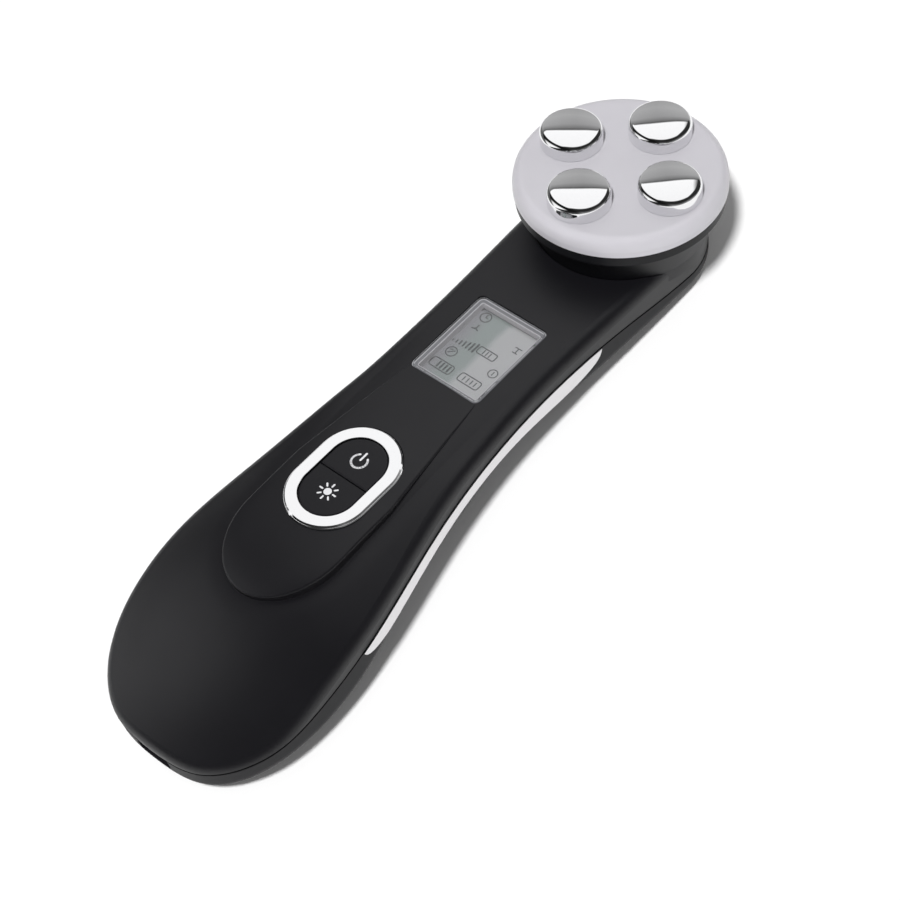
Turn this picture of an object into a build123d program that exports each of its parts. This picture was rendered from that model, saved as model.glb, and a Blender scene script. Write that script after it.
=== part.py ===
"""Hand-held facial toning device: a waisted, arched handle in two moulded shells, with a tilted round head.

Frame: X runs along the handle towards the head, Y to the left, Z up. The origin is on the surface that the
device rests on, under the middle of its length. All sizes are millimetres and degrees.
"""
from build123d import *
from math import cos, radians, sin, sqrt, tan
import os

# ---------------------------------------------------------------- driving sizes: handle, from above
HANDLE_LENGTH = 167.6        # tail tip to the axis of the head
NECK_SETBACK = 2.6           # centre of the rounded neck end, behind the head axis
NECK_RADIUS = 19.4
WAIST_FROM_HEAD = 50.0
WAIST_WIDTH = 36.4
GRIP_FROM_HEAD = 92.0
GRIP_WIDTH = 43.2
TAIL_FROM_HEAD = 135.0
TAIL_WIDTH = 55.0
TAIL_SHOULDER = 8.4          # from the tail tip, where the rounded end still has most of its width
TAIL_SHOULDER_WIDTH = 43.4

# ---------------------------------------------------------------- driving sizes: handle, from the side
PARTING_AT_FRONT = 6.2       # heights above the resting surface, in the middle plane
PARTING_AT_NECK = 6.8
PARTING_BEFORE_WAIST = 12.6
PARTING_AT_WAIST = 16.4
PARTING_AT_GRIP = 18.7
PARTING_AT_TAIL = 15.8
PARTING_AT_TIP = 9.7
NECK_RISE = 10.0             # top of the handle above the parting line, at the neck
TAIL_RISE = 10.4             # the same at the tail
SHOULDER_RISE = 7.6          # the same where the tail end rounds off
BELLY_ARCH = 4.0             # how far the underside clears the surface between its two flat lands
LAND_DEPTH = 0.6             # how much of the rounded belly the flat lands take off
FRONT_BELLY = 2.8            # height of the belly at the neck's front
TIP_BELLY = 3.3              # the same at the tail tip
BAND_AT_NECK = 3.9           # height of the upright flank under the parting line
BAND_BEFORE_WAIST = 6.3
BAND_AT_WAIST = 5.0
BAND_BEFORE_GRIP = 3.6
BAND_AT_GRIP = 4.2
BAND_BEHIND_GRIP = 4.6
BAND_AT_TAIL = 7.0
BAND_AT_SHOULDER = 4.6
CROWN_AT_NECK = 0.5          # fall of the top from the middle to the side
CROWN_AT_WAIST = 0.9
CROWN_AT_GRIP = 3.3
CROWN_BEHIND_GRIP = 5.8
CROWN_AT_TAIL = 6.2

# ---------------------------------------------------------------- driving sizes: shells
WALL = 2.4
TOP_EDGE_RADIUS = 3.0
BELLY_EDGE_RADIUS = 3.2
LIP_HEIGHT = 1.6
LIP_THICKNESS = 1.0
LIP_GAP = 0.1

# ---------------------------------------------------------------- driving sizes: deck, with window and keys
DECK_TILT = 6.45
DECK_HEIGHT = 28.0           # deck plane above the surface, at the middle of the keys
KEYS_FROM_HEAD = 97.4
WINDOW_FROM_KEYS = 45.4
WINDOW_LENGTH = 25.3
WINDOW_WIDTH = 20.2
WINDOW_THICKNESS = 1.5
WINDOW_CORNER = 1.6
WINDOW_LEDGE = 1.2
WINDOW_SINK = 0.15
WINDOW_BEVEL = 0.5
KEY_OPENING_WIDTH = 14.2
KEY_OPENING_LENGTH = 23.2
KEY_GAP = 0.15
KEY_TRAVEL = 0.5
KEY_PROUD = 0.25
KEY_WALL = 1.2
KEY_FLANGE = 0.8             # how far the retaining flange reaches under the shell
KEY_FLANGE_HEIGHT = 0.7
POST_RADIUS = 1.6
BEZEL_WIDTH = 3.3
BEZEL_PROUD = 0.4
BEZEL_SEAT = 1.4
BEZEL_BEVEL = 0.5
STAKE_RADIUS = 0.7
STAKE_HEAD_RADIUS = 1.15
STAKE_HEAD_HEIGHT = 0.5
STAKE_HEAD_GAP = 0.02
TONGUE_REACH = 34.4          # tail end of the raised platform, behind the middle of the keys
TONGUE_END_LENGTH = 18.0     # length of its rounded end
TONGUE_WIDTH = 28.2
TONGUE_RAISE = 0.8           # platform above the handle's top at the keys
TONGUE_STEP = 1.3            # step at its rounded end
TONGUE_CROWN = 0.7

# ---------------------------------------------------------------- driving sizes: head
HEAD_TILT = 11.3
HEAD_HEIGHT = 26.5           # centre of the disc's lower edge above the surface
DISC_RADIUS = 25.0
DISC_EDGE = 1.5
DISC_RISE = 4.6              # plateau above the disc's lower edge
DISC_PLATEAU_RADIUS = 22.4
DISC_WALL = 2.0
DISC_SKIRT_WALL = 1.5
SPIGOT_GAP = 0.6             # disc's skirt inside the disc's wall
RIM_RADIUS = 24.6
RIM_GAP = 0.2                # rim to the skirt
RIM_HEIGHT = 3.2
COLLAR_TOP_RADIUS = 23.2
COLLAR_FOOT_RADIUS = 20.4
COLLAR_FOOT = 12.2           # foot of the collar below the disc's lower edge
COLLAR_FLOOR = 2.4
COLLAR_GAP = 0.15            # between the flared collar and the deck beside it
CABLE_HOLE_RADIUS = 5.0
ELECTRODE_RADIUS = 7.45
ELECTRODE_CIRCLE = 14.6
ELECTRODE_SIDE = 3.9
ELECTRODE_DOME = 1.4
ELECTRODE_SHOULDER = 1.4
STUD_RADIUS = 1.5
STUD_LENGTH = 4.6
NUT_HEIGHT = 2.4
NUT_ACROSS_FLATS = 5.5
LED_BOARD_RADIUS = 19.4
LED_BOARD_DEPTH = 4.4        # top of the lamp board below the disc's lower edge
LED_SIZE = 3.5
LED_HEIGHT = 1.2
LED_INNER_CIRCLE = 6.5
LED_OUTER_CIRCLE = 15.6
HEAD_SCREW_CIRCLE = 14.0
LED_SCREW_CIRCLE = 17.0

# ---------------------------------------------------------------- driving sizes: inner parts
BOARD_DEPTH = 8.4            # top of the main board below the deck plane
BOARD_THICKNESS = 1.6
BOARD_WIDTH = 26.0
BOARD_HEAD_END = 64.0        # from the middle of the keys
BOARD_TAIL_END = 24.0
BOARD_SCREW_INSET = 2.8
LCD_FRAME = 0.8              # how far the display is inside the window all round
LCD_THICKNESS = 2.0
GASKET_THICKNESS = 0.75
SEAT_FRAME_DEPTH = 2.75      # underside of the frame round the window, below the deck plane
SWITCH_SIZE = 6.0
SWITCH_HEIGHT = 3.5
SWITCH_FROM_SPLIT = 5.6
PLUNGER_RADIUS = 1.75
PLUNGER_PROUD = 0.8
PLUNGER_CLEARANCE = 0.05
POST_GAP = 0.15              # key's post above the plunger, at rest
BATTERY_DIAMETER = 14.2
BATTERY_LENGTH = 48.5
BATTERY_FROM_HEAD = 124.4
BATTERY_LIFT = 3.8           # underside of the cell above the surface, clear of the arched belly
SADDLE_THICKNESS = 2.0
SADDLE_GAP = 0.1
MOTOR_DIAMETER = 7.0
MOTOR_LENGTH = 14.0
MOTOR_FROM_HEAD = 15.0
MOTOR_LIFT = 2.2
MOTOR_SHAFT_RADIUS = 0.5
WEIGHT_RADIUS = 3.0
WEIGHT_LENGTH = 4.0
WEIGHT_GAP = 0.8
SCREW_LENGTH = 10.0
SCREW_GRIP = 5.0
SCREW_SHANK_RADIUS = 1.3
SCREW_HEAD_RADIUS = 2.5
SCREW_HEAD_HEIGHT = 1.8
SCREW_CLEARANCE = 0.3
BOSS_WALL = 1.6
NECK_SCREW_FROM_HEAD = 28.0
NECK_SCREW_SPACING = 22.0
TAIL_SCREW_FROM_HEAD = 140.0
TAIL_SCREW_SPACING = 34.0
SMALL_SCREW_RADIUS = 1.0
SMALL_SCREW_HEAD_RADIUS = 1.8
SMALL_SCREW_HEAD_HEIGHT = 1.3
SMALL_SCREW_LENGTH = 5.0
SHORT_SCREW_LENGTH = 3.2
PILOT_SPARE = 0.4            # depth of a blind pilot hole past its screw's end
STRIP_PROUD = 0.3
STRIP_SINK = 0.7
STRIP_HEIGHT = 4.9           # greatest height, near its head end
STRIP_GAP = 0.12
STRIP_HEAD_END = 33.0        # ends of the side strips, from the head axis
STRIP_TAIL_END = 124.5
STRIP_PIN_RADIUS = 1.0
STRIP_PIN_DROP = 1.9         # pins below the parting line
STRIP_PINS_FROM_HEAD = (66.0, 106.0)
CLIP_RADIUS = 2.6
CLIP_THICKNESS = 0.5
CLIP_GAP = 0.6               # washer to the sloping inner wall, on its pin's axis
SLOT_WIDTH = 9.6
SLOT_HEIGHT = 3.9
SOCKET_WIDTH = 7.5
SOCKET_HEIGHT = 2.7
SOCKET_LENGTH = 5.6
SOCKET_WALL = 0.4
CHARGE_BOARD_LENGTH = 13.6
CHARGE_BOARD_WIDTH = 16.0
CHARGE_BOARD_THICKNESS = 1.2
RELIEF_GAP = 0.15            # clearance of the pockets for the display and for the charging board

# ---------------------------------------------------------------- derived places
HEAD_X = (HANDLE_LENGTH - DISC_RADIUS * cos(radians(HEAD_TILT)) - DISC_EDGE * sin(radians(HEAD_TILT))) / 2
TIP_X = HEAD_X - HANDLE_LENGTH
NECK_X = HEAD_X - NECK_SETBACK
FRONT_X = NECK_X + NECK_RADIUS
SPIGOT_RADIUS = DISC_RADIUS - DISC_WALL - SPIGOT_GAP
PLUNGER_TRAVEL = KEY_TRAVEL - POST_GAP
REACH = 9.0                  # how far the side curves run past the handle's ends
BIG = 80.0                   # reach of the cutting blocks, larger than the device is wide or tall


def behind_head(distance):
    """X of a station that lies this far behind the head axis."""
    return HEAD_X - distance


WAIST_X = behind_head(WAIST_FROM_HEAD)
GRIP_X = behind_head(GRIP_FROM_HEAD)
TAIL_X = behind_head(TAIL_FROM_HEAD)
KEYS_X = behind_head(KEYS_FROM_HEAD)
WINDOW_X = KEYS_X + WINDOW_FROM_KEYS * cos(radians(DECK_TILT))
TONGUE_END_X = KEYS_X - TONGUE_REACH
HEAD = Location((HEAD_X, 0, HEAD_HEIGHT), (0, HEAD_TILT, 0))
DECK = Location((KEYS_X, 0, DECK_HEIGHT), (0, DECK_TILT, 0))


def deck_height(x):
    """Height of the deck plane above the resting surface, at this x."""
    return DECK_HEIGHT - (x - KEYS_X) * tan(radians(DECK_TILT))


# ================================================================ the handle's curves
def side_curve(points):
    """Smooth curve in the middle plane through (x, z) points, from the head to the tail."""
    return Spline(*[(x, 0, z) for x, z in points])


def on_curve(curve, t):
    """Point of a curve at parameter t, from 0 to 1."""
    return curve.position_at(t, position_mode=PositionMode.PARAMETER)


def point_at(curve, x):
    """Point of a curve that runs from the head to the tail, at this x."""
    low, high = 0.0, 1.0
    for _ in range(30):
        middle = (low + high) / 2
        if on_curve(curve, middle).X > x:
            low = middle
        else:
            high = middle
    return on_curve(curve, (low + high) / 2)


PLAN = Spline(
    (NECK_X, NECK_RADIUS),
    (WAIST_X, WAIST_WIDTH / 2),
    (GRIP_X, GRIP_WIDTH / 2),
    (TAIL_X, TAIL_WIDTH / 2),
    (TIP_X + TAIL_SHOULDER, TAIL_SHOULDER_WIDTH / 2),
    (TIP_X, 0),
    tangents=[(-1, 0), (0, -1)],
)
PARTING_PLACES = [
    (FRONT_X + REACH, PARTING_AT_FRONT),
    (NECK_X, PARTING_AT_NECK),
    ((NECK_X + WAIST_X) / 2, PARTING_BEFORE_WAIST),
    (WAIST_X, PARTING_AT_WAIST),
    (GRIP_X, PARTING_AT_GRIP),
    (TAIL_X, PARTING_AT_TAIL),
    (TIP_X, PARTING_AT_TIP),
    (TIP_X - REACH, PARTING_AT_TIP * 0.75),
]
PARTING = side_curve(PARTING_PLACES)
WINDOW_HEAD_X = WINDOW_X + WINDOW_LENGTH / 2
WINDOW_TAIL_X = WINDOW_X - WINDOW_LENGTH / 2
TOP_LINE = side_curve([
    (FRONT_X + REACH, PARTING_AT_NECK + NECK_RISE * 0.4),
    (NECK_X, PARTING_AT_NECK + NECK_RISE),
    (WINDOW_HEAD_X, deck_height(WINDOW_HEAD_X)),
    (WINDOW_TAIL_X, deck_height(WINDOW_TAIL_X)),
    (KEYS_X, DECK_HEIGHT - TONGUE_RAISE),
    (TAIL_X, PARTING_AT_TAIL + TAIL_RISE),
    (TIP_X + TAIL_SHOULDER, PARTING_AT_TIP + SHOULDER_RISE),
    (TIP_X - REACH / 2, PARTING_AT_TIP),
])
BELLY = side_curve([
    (FRONT_X + REACH, FRONT_BELLY * 2.5),
    (FRONT_X, FRONT_BELLY),
    (NECK_X + NECK_RADIUS * 0.4, -LAND_DEPTH / 3),
    (NECK_X - NECK_RADIUS * 0.4, -LAND_DEPTH),
    (WAIST_X + NECK_RADIUS, -LAND_DEPTH / 3),
    ((WAIST_X + GRIP_X) / 2, BELLY_ARCH),
    (TAIL_X + NECK_RADIUS, -LAND_DEPTH / 3),
    (TAIL_X, -LAND_DEPTH),
    (TIP_X + TAIL_SHOULDER * 2, PARTING_AT_TIP * 0.08),
    (TIP_X, TIP_BELLY),
    (TIP_X - REACH, PARTING_AT_TIP),
])


def parting_height(x):
    """Height of the parting line at this x."""
    return point_at(PARTING, x).Z


def half_width(x):
    """Half width of the plan outline at this x, held at a full width past both rounded ends."""
    if x > NECK_X:
        return NECK_RADIUS
    return point_at(PLAN, max(x, TIP_X + 1.6 * TAIL_SHOULDER)).Y


CROWNS = [
    (NECK_X, CROWN_AT_NECK), (WAIST_X, CROWN_AT_WAIST), (GRIP_X, CROWN_AT_GRIP),
    ((GRIP_X + TAIL_X) / 2, CROWN_BEHIND_GRIP), (TAIL_X, CROWN_AT_TAIL),
]
BANDS = [
    (NECK_X, BAND_AT_NECK), ((NECK_X + WAIST_X) / 2, BAND_BEFORE_WAIST), (WAIST_X, BAND_AT_WAIST),
    ((WAIST_X + GRIP_X) / 2, BAND_BEFORE_GRIP), (GRIP_X, BAND_AT_GRIP),
    ((GRIP_X + TAIL_X) / 2, BAND_BEHIND_GRIP), (TAIL_X, BAND_AT_TAIL),
    (TIP_X + TAIL_SHOULDER, BAND_AT_SHOULDER),
]


def along_handle(x, places):
    """Value at this x between (x, value) places listed from the neck to the tail, held past both ends."""
    if x >= places[0][0]:
        return places[0][1]
    for (x_1, value_1), (x_2, value_2) in zip(places, places[1:]):
        if x >= x_2:
            return value_1 + (value_2 - value_1) * (x_1 - x) / (x_1 - x_2)
    return places[-1][1]


STATIONS = [
    FRONT_X + REACH, FRONT_X, (FRONT_X + NECK_X * 2) / 3, NECK_X - NECK_RADIUS * 0.4,
    (NECK_X + WAIST_X) / 2, WAIST_X, (WAIST_X + GRIP_X) / 2, GRIP_X, (GRIP_X + TAIL_X) / 2, TAIL_X,
    TIP_X + 2 * TAIL_SHOULDER, TIP_X + TAIL_SHOULDER, TIP_X - REACH / 2,
]


# ================================================================ the handle's form
def section(x, lift, half, z_edge, z_middle, z_far):
    """Closed section across the handle: an arc through its middle and sides, closed far above or below."""
    sagitta = z_edge - z_middle
    radius = (half ** 2 + sagitta ** 2) / (2 * abs(sagitta))
    wide = min(half + 1.5, radius * 0.97)
    rise = (radius - sqrt(radius ** 2 - wide ** 2)) * (1 if sagitta > 0 else -1)
    with BuildSketch(Plane(origin=(x, 0, lift), x_dir=(0, 1, 0), z_dir=(1, 0, 0))) as sketch:
        with BuildLine():
            ThreePointArc((-wide, z_middle + rise), (0, z_middle), (wide, z_middle + rise))
            Polyline((wide, z_middle + rise), (wide, z_far), (-wide, z_far), (-wide, z_middle + rise))
        make_face()
    return sketch.sketch


def above_belly(lift):
    """Block whose underside is the rounded belly."""
    sections = []
    for x in STATIONS:
        z_middle = point_at(BELLY, x).Z
        z_edge = max(parting_height(x) - along_handle(x, BANDS), z_middle + 1)
        sections.append(section(x, lift, half_width(x), z_edge, z_middle, BIG))
    return loft(sections)


def below_top(drop):
    """Block whose upper side is the crowned top."""
    sections = []
    for x in STATIONS:
        z_middle = point_at(TOP_LINE, x).Z
        z_edge = z_middle - along_handle(x, CROWNS)
        sections.append(section(x, -drop, half_width(x), z_edge, z_middle, -BIG))
    return loft(sections)


def plan_face(inset):
    """Plan outline of the handle, moved in by this much all round."""
    places = []
    for step in range(1, 12):
        point, along = PLAN @ (step / 12), PLAN % (step / 12)
        places.append((point.X - along.Y * inset, point.Y + along.X * inset))
    with BuildSketch() as sketch:
        with BuildLine():
            CenterArc((NECK_X, 0), NECK_RADIUS - inset, -90, 180)
            flank = Spline(
                (NECK_X, NECK_RADIUS - inset), *places, (TIP_X + inset, 0), tangents=[(-1, 0), (0, -1)],
            )
            mirror(flank, about=Plane.XZ)
        make_face()
    return sketch.sketch


def bare_form(inset):
    """The handle with sharp edges as one closed form, moved in by this much: 0 outside, WALL the cavity."""
    prism = Pos(0, 0, -BIG / 2) * extrude(plan_face(inset), BIG * 2)
    return (prism & above_belly(inset) & below_top(inset)).solids()[0]


def handle_form():
    """The outside of the handle, with its edges rounded and its two flat lands on the resting surface."""
    form = bare_form(0)
    top_edges = []
    for edge in form.edges():
        level = abs((edge @ 1).Z - (edge @ 0).Z) < 0.9 * edge.length
        if level and edge.center().Z > parting_height(edge.center().X):
            top_edges.append(edge)
    form = fillet(top_edges, TOP_EDGE_RADIUS)
    belly_edges = [
        edge for edge in form.edges()
        if edge.length > NECK_RADIUS and edge.center().Z < parting_height(edge.center().X)
    ]
    form = fillet(belly_edges, BELLY_EDGE_RADIUS).solids()[0]
    return form & Pos(0, 0, BIG / 2) * Box(4 * BIG, BIG, BIG)


def parting_edge(offset):
    """The parting line moved up by this much, for a sketch; a whole BIG gives a level far above or below."""
    if abs(offset) == BIG:
        return Line((PARTING_PLACES[0][0], offset), (PARTING_PLACES[-1][0], offset))
    return Spline(*[(x, z + offset) for x, z in PARTING_PLACES])


def parting_band(low, high):
    """Everything between two surfaces that follow the parting line."""
    with BuildSketch(Plane.XZ) as sketch:
        with BuildLine():
            lower, upper = parting_edge(low), parting_edge(high)
            Line(lower @ 0, upper @ 0)
            Line(lower @ 1, upper @ 1)
        make_face()
    return extrude(sketch.sketch, BIG / 2, both=True)


def plan_prism(inset):
    """Upright prism of the plan outline, moved in by this much."""
    return extrude(plan_face(inset), BIG / 2)


def tongue():
    """Raised platform round the keys: a tongue-shaped prism under its own, flatter crown."""
    half = TONGUE_WIDTH / 2
    straight_end = TONGUE_END_X + TONGUE_END_LENGTH
    with BuildSketch() as outline:
        with BuildLine():
            EllipticalCenterArc((straight_end, 0), TONGUE_END_LENGTH, half, 90, arc_size=180)
            Polyline(
                (straight_end, half), (KEYS_X, half), (WINDOW_TAIL_X, half * 0.72),
                (WINDOW_TAIL_X, -half * 0.72), (KEYS_X, -half), (straight_end, -half),
            )
        make_face()
    end_base = point_at(TOP_LINE, TONGUE_END_X).Z
    line = side_curve([
        (WINDOW_X, deck_height(WINDOW_X) - 0.25),
        (WINDOW_TAIL_X, deck_height(WINDOW_TAIL_X) - 0.05),
        (KEYS_X, DECK_HEIGHT),
        (TONGUE_END_X, end_base + TONGUE_STEP),
        (TONGUE_END_X - REACH, end_base - TONGUE_STEP),
    ])
    sections = []
    between = (WINDOW_TAIL_X + KEYS_X) / 2
    for x in (WINDOW_X, WINDOW_TAIL_X, between, KEYS_X, straight_end, TONGUE_END_X - REACH):
        z_middle = point_at(line, x).Z
        sections.append(section(x, 0, half, z_middle - TONGUE_CROWN, z_middle, 0))
    platform = extrude(outline.sketch, BIG) & loft(sections)
    platform = platform & Pos(TONGUE_END_X, 0, BIG / 2 + PARTING_AT_GRIP) * Box(4 * BIG, BIG, BIG)
    platform = platform.solids()[0]
    top_edges = [edge for edge in platform.edges() if edge.center().Z > PARTING_AT_GRIP + 1]
    side_edges = [edge for edge in top_edges if abs((edge @ 1).Z - (edge @ 0).Z) < 0.9 * edge.length]
    end_edges = [edge for edge in side_edges if edge.center().X < WINDOW_TAIL_X - 1]
    return fillet(end_edges, 0.5)


# ================================================================ small shared shapes
def cylinder(radius, bottom, top):
    """Upright cylinder on its own axis between two heights."""
    return Pos(0, 0, bottom) * Cylinder(radius, top - bottom, align=(Align.CENTER, Align.CENTER, Align.MIN))


def ring(outer_radius, inner_radius, bottom, top):
    """Upright tube on its own axis between two heights."""
    return cylinder(outer_radius, bottom, top) - cylinder(inner_radius, bottom - 1, top + 1)


def slab(length, width, bottom, top, corner=0.0):
    """Flat rectangular slab, centred, between two heights, with rounded upright corners."""
    if corner:
        return Pos(0, 0, bottom) * extrude(RectangleRounded(length, width, corner), top - bottom)
    return Pos(0, 0, bottom) * Box(length, width, top - bottom, align=(Align.CENTER, Align.CENTER, Align.MIN))


def stadium(grow, bottom, top):
    """Prism of the key opening's outline grown by this much, along the deck."""
    outline = SlotOverall(KEY_OPENING_LENGTH + 2 * grow, KEY_OPENING_WIDTH + 2 * grow)
    return Pos(0, 0, bottom) * extrude(outline, top - bottom)


def around(radius, angles):
    """Places on a circle about the Z axis."""
    return [Pos(radius * cos(radians(angle)), radius * sin(radians(angle)), 0) for angle in angles]


def joined(shapes):
    """One compound of separate solids."""
    return Compound([solid for shape in shapes for solid in shape.solids()])


def largest(shape):
    """The largest solid of a shape."""
    return max(shape.solids(), key=lambda solid: solid.volume)


def fastener(shank_radius, head_radius, head_height, length):
    """Pan-head screw standing on its head at the origin: shank up, head below, with a cross recess."""
    head = cylinder(head_radius, -head_height, 0)
    head = fillet(head.edges().group_by(Axis.Z)[0], head_height * 0.45)
    slot = Box(head_radius * 1.1, head_radius * 0.28, head_height * 0.9)
    cross = Pos(0, 0, -head_height) * (slot + Rot(0, 0, 90) * slot)
    tip = chamfer(cylinder(shank_radius, 0, length).edges().group_by(Axis.Z)[-1], shank_radius * 0.4)
    return (head + tip - cross).solids()[0]


# ================================================================ places of fasteners and inner parts
BOARD_UNDERSIDE = -BOARD_DEPTH - BOARD_THICKNESS
BOARD_MIDDLE = (BOARD_HEAD_END - BOARD_TAIL_END) / 2
BOARD_SCREW_PLACES = []
for along in (
    BOARD_HEAD_END - BOARD_SCREW_INSET,
    (KEY_OPENING_LENGTH / 2 + BEZEL_WIDTH + WINDOW_FROM_KEYS - WINDOW_LENGTH / 2) / 2,
    BOARD_SCREW_INSET * 1.6 - BOARD_TAIL_END,
):
    for across in (-1, 1):
        BOARD_SCREW_PLACES.append(Pos(along, across * (BOARD_WIDTH / 2 - BOARD_SCREW_INSET), 0))

SHELL_SCREW_PLACES = []
for distance, spacing in (
    (NECK_SCREW_FROM_HEAD, NECK_SCREW_SPACING),
    (TAIL_SCREW_FROM_HEAD, TAIL_SCREW_SPACING),
):
    for across in (-1, 1):
        SHELL_SCREW_PLACES.append((behind_head(distance), across * spacing / 2))

HEAD_SCREW_ANGLES = (0, 120, 240)
LED_SCREW_ANGLES = (70, 290)
HEAD_SEAT = COLLAR_FOOT + WALL + 0.8          # underside of the screw seats, below the disc's lower edge
BATTERY_X = behind_head(BATTERY_FROM_HEAD)
BATTERY_Z = BATTERY_LIFT + BATTERY_DIAMETER / 2
MOTOR_X = behind_head(MOTOR_FROM_HEAD)
MOTOR_Z = MOTOR_LIFT + MOTOR_DIAMETER / 2
SLOT_TOP = PARTING_AT_TIP
SOCKET_Z = SLOT_TOP - SLOT_HEIGHT / 2
CHARGE_BOARD_TOP = SOCKET_Z - SOCKET_HEIGHT / 2
CHARGE_BOARD_X = TIP_X + WALL + 0.8 + CHARGE_BOARD_LENGTH / 2
CHARGE_POST_X = CHARGE_BOARD_X + CHARGE_BOARD_LENGTH / 2 - 3
CHARGE_POST_SIDES = (2.5 - CHARGE_BOARD_WIDTH / 2, CHARGE_BOARD_WIDTH / 2 - 2.5)


def joint_level(x):
    """Height at which the upper and lower screw bosses meet."""
    return parting_height(x) - LIP_HEIGHT - 1.2


def side_places(side):
    """Where a side strip's two pins go through the wall: x, inner wall y and z."""
    places = []
    for distance in STRIP_PINS_FROM_HEAD:
        x = behind_head(distance)
        places.append((x, side * (half_width(x) - WALL), parting_height(x) - STRIP_PIN_DROP))
    return places


# ================================================================ side strips
def leaf(top_offset, grow, side):
    """Prism to one side of a side strip's outline: it follows the parting line above and is bowed below."""
    head_x = behind_head(STRIP_HEAD_END) + grow
    tail_x = behind_head(STRIP_TAIL_END) - grow
    top_places = [(x, parting_height(x) + top_offset) for x in (
        head_x, WAIST_X, (WAIST_X + GRIP_X) / 2, GRIP_X, (GRIP_X + tail_x) / 2, tail_x,
    )]
    low_places = []
    for x, share in (
        (head_x - 1.2, 0.42), (head_x - 5, 0.8), (head_x - 13, 1.0), (WAIST_X - 10, 0.8), (GRIP_X, 0.7),
        (tail_x + 13, 0.82), (tail_x + 4, 0.68), (tail_x + 1, 0.38),
    ):
        low_places.append((x, parting_height(x) - STRIP_HEIGHT * share - grow))
    with BuildSketch(Plane.XZ) as sketch:
        with BuildLine():
            upper = Spline(*top_places)
            Spline(upper @ 0, *low_places, upper @ 1)
        make_face()
    return extrude(sketch.sketch, -side * BIG / 2)


def strip_seats():
    """Shallow seats of both side strips, open to the parting line."""
    outside = plan_prism(-REACH / 3) - plan_prism(STRIP_SINK)
    return [largest(leaf(STRIP_GAP * 4, STRIP_GAP, side) & outside) for side in (-1, 1)]


def make_left_strip():
    """Polished contact strip in the bottom shell's left flank, with two pins through the wall."""
    strip = largest(leaf(-STRIP_GAP, 0, 1) & (plan_prism(-STRIP_PROUD) - plan_prism(STRIP_SINK)))
    pins = []
    for x, y, z in side_places(1):
        pin = Rot(90, 0, 0) * cylinder(STRIP_PIN_RADIUS, 0, STRIP_SINK + WALL + 1.6)
        pins.append(Pos(x, y + WALL - STRIP_SINK + 0.6, z) * pin)
    return largest(strip + pins)


def make_strip_clips():
    """Push-on contact washers on the strips' pins, inside the wall."""
    clips = []
    washer = ring(CLIP_RADIUS, STRIP_PIN_RADIUS, 0, CLIP_THICKNESS)
    for side in (-1, 1):
        for x, y, z in side_places(side):
            clips.append(Pos(x, y - side * CLIP_GAP, z) * Rot(90 * side, 0, 0) * washer)
    return joined(clips)


# ================================================================ top shell
def deck_openings():
    """What is cut out of the deck for the window, the key ring with its stakes, and the keys."""
    recess = slab(
        WINDOW_LENGTH + 0.1, WINDOW_WIDTH + 0.1, -WINDOW_THICKNESS - WINDOW_SINK, REACH, WINDOW_CORNER,
    )
    opening = slab(WINDOW_LENGTH - 2 * WINDOW_LEDGE, WINDOW_WIDTH - 2 * WINDOW_LEDGE, -BOARD_DEPTH, 0)
    display_room = slab(
        WINDOW_LENGTH - 2 * LCD_FRAME + 2 * RELIEF_GAP, WINDOW_WIDTH - 2 * LCD_FRAME + 2 * RELIEF_GAP,
        -BOARD_DEPTH, -SEAT_FRAME_DEPTH,
    )
    cuts = [
        DECK * Pos(WINDOW_FROM_KEYS, 0, 0) * (recess + opening),
        DECK * Pos(WINDOW_FROM_KEYS, 0, 0) * display_room,
        DECK * (stadium(BEZEL_WIDTH + 0.05, -BEZEL_SEAT, REACH) + stadium(0.2, -BOARD_DEPTH, 0)),
        DECK * stadium(BEZEL_WIDTH + 0.6, -BOARD_DEPTH, -TONGUE_RAISE - WALL),
    ]
    for place in bezel_stakes():
        cuts.append(DECK * place * cylinder(STAKE_RADIUS + 0.05, -BOARD_DEPTH, 0))
    return cuts


def lip_notches():
    """Gaps in the lip, at the strips' pins and at the charging slot."""
    notches = [Pos(TIP_X, 0, PARTING_AT_TIP) * Box(6 * WALL, SLOT_WIDTH + 2, 4 * LIP_HEIGHT)]
    for side in (-1, 1):
        for x, y, z in side_places(side):
            notches.append(Pos(x, y, z) * Box(2 * CLIP_RADIUS + 1, 3 * WALL, 2 * CLIP_RADIUS + 1))
    return notches


def top_posts():
    """Board posts and screw bosses that hang from the deck, still running up through it."""
    posts = []
    for place in BOARD_SCREW_PLACES:
        posts.append(DECK * place * cylinder(SMALL_SCREW_HEAD_RADIUS + 0.5, -BOARD_DEPTH, REACH))
    for x, y in SHELL_SCREW_PLACES:
        posts.append(Pos(x, y, 0) * cylinder(SCREW_SHANK_RADIUS + BOSS_WALL, joint_level(x), DECK_HEIGHT + 2))
    return posts


def top_holes():
    """Pilot holes in the posts and bosses, and the holes under the head."""
    holes = [HEAD * cylinder(CABLE_HOLE_RADIUS, -HEAD_SEAT - WALL, 0)]
    pilot_top = SMALL_SCREW_LENGTH + PILOT_SPARE - BOARD_THICKNESS - BOARD_DEPTH
    for place in BOARD_SCREW_PLACES:
        holes.append(DECK * place * cylinder(SMALL_SCREW_RADIUS, -BOARD_DEPTH - 1, pilot_top))
    for x, y in SHELL_SCREW_PLACES:
        low = joint_level(x)
        holes.append(Pos(x, y, 0) * cylinder(SCREW_SHANK_RADIUS, low - 1, low + SCREW_GRIP + PILOT_SPARE))
    for place in around(HEAD_SCREW_CIRCLE, HEAD_SCREW_ANGLES):
        holes.append(HEAD * place * cylinder(SCREW_SHANK_RADIUS + SCREW_CLEARANCE, -HEAD_SEAT - 1, 0))
    return holes


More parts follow.
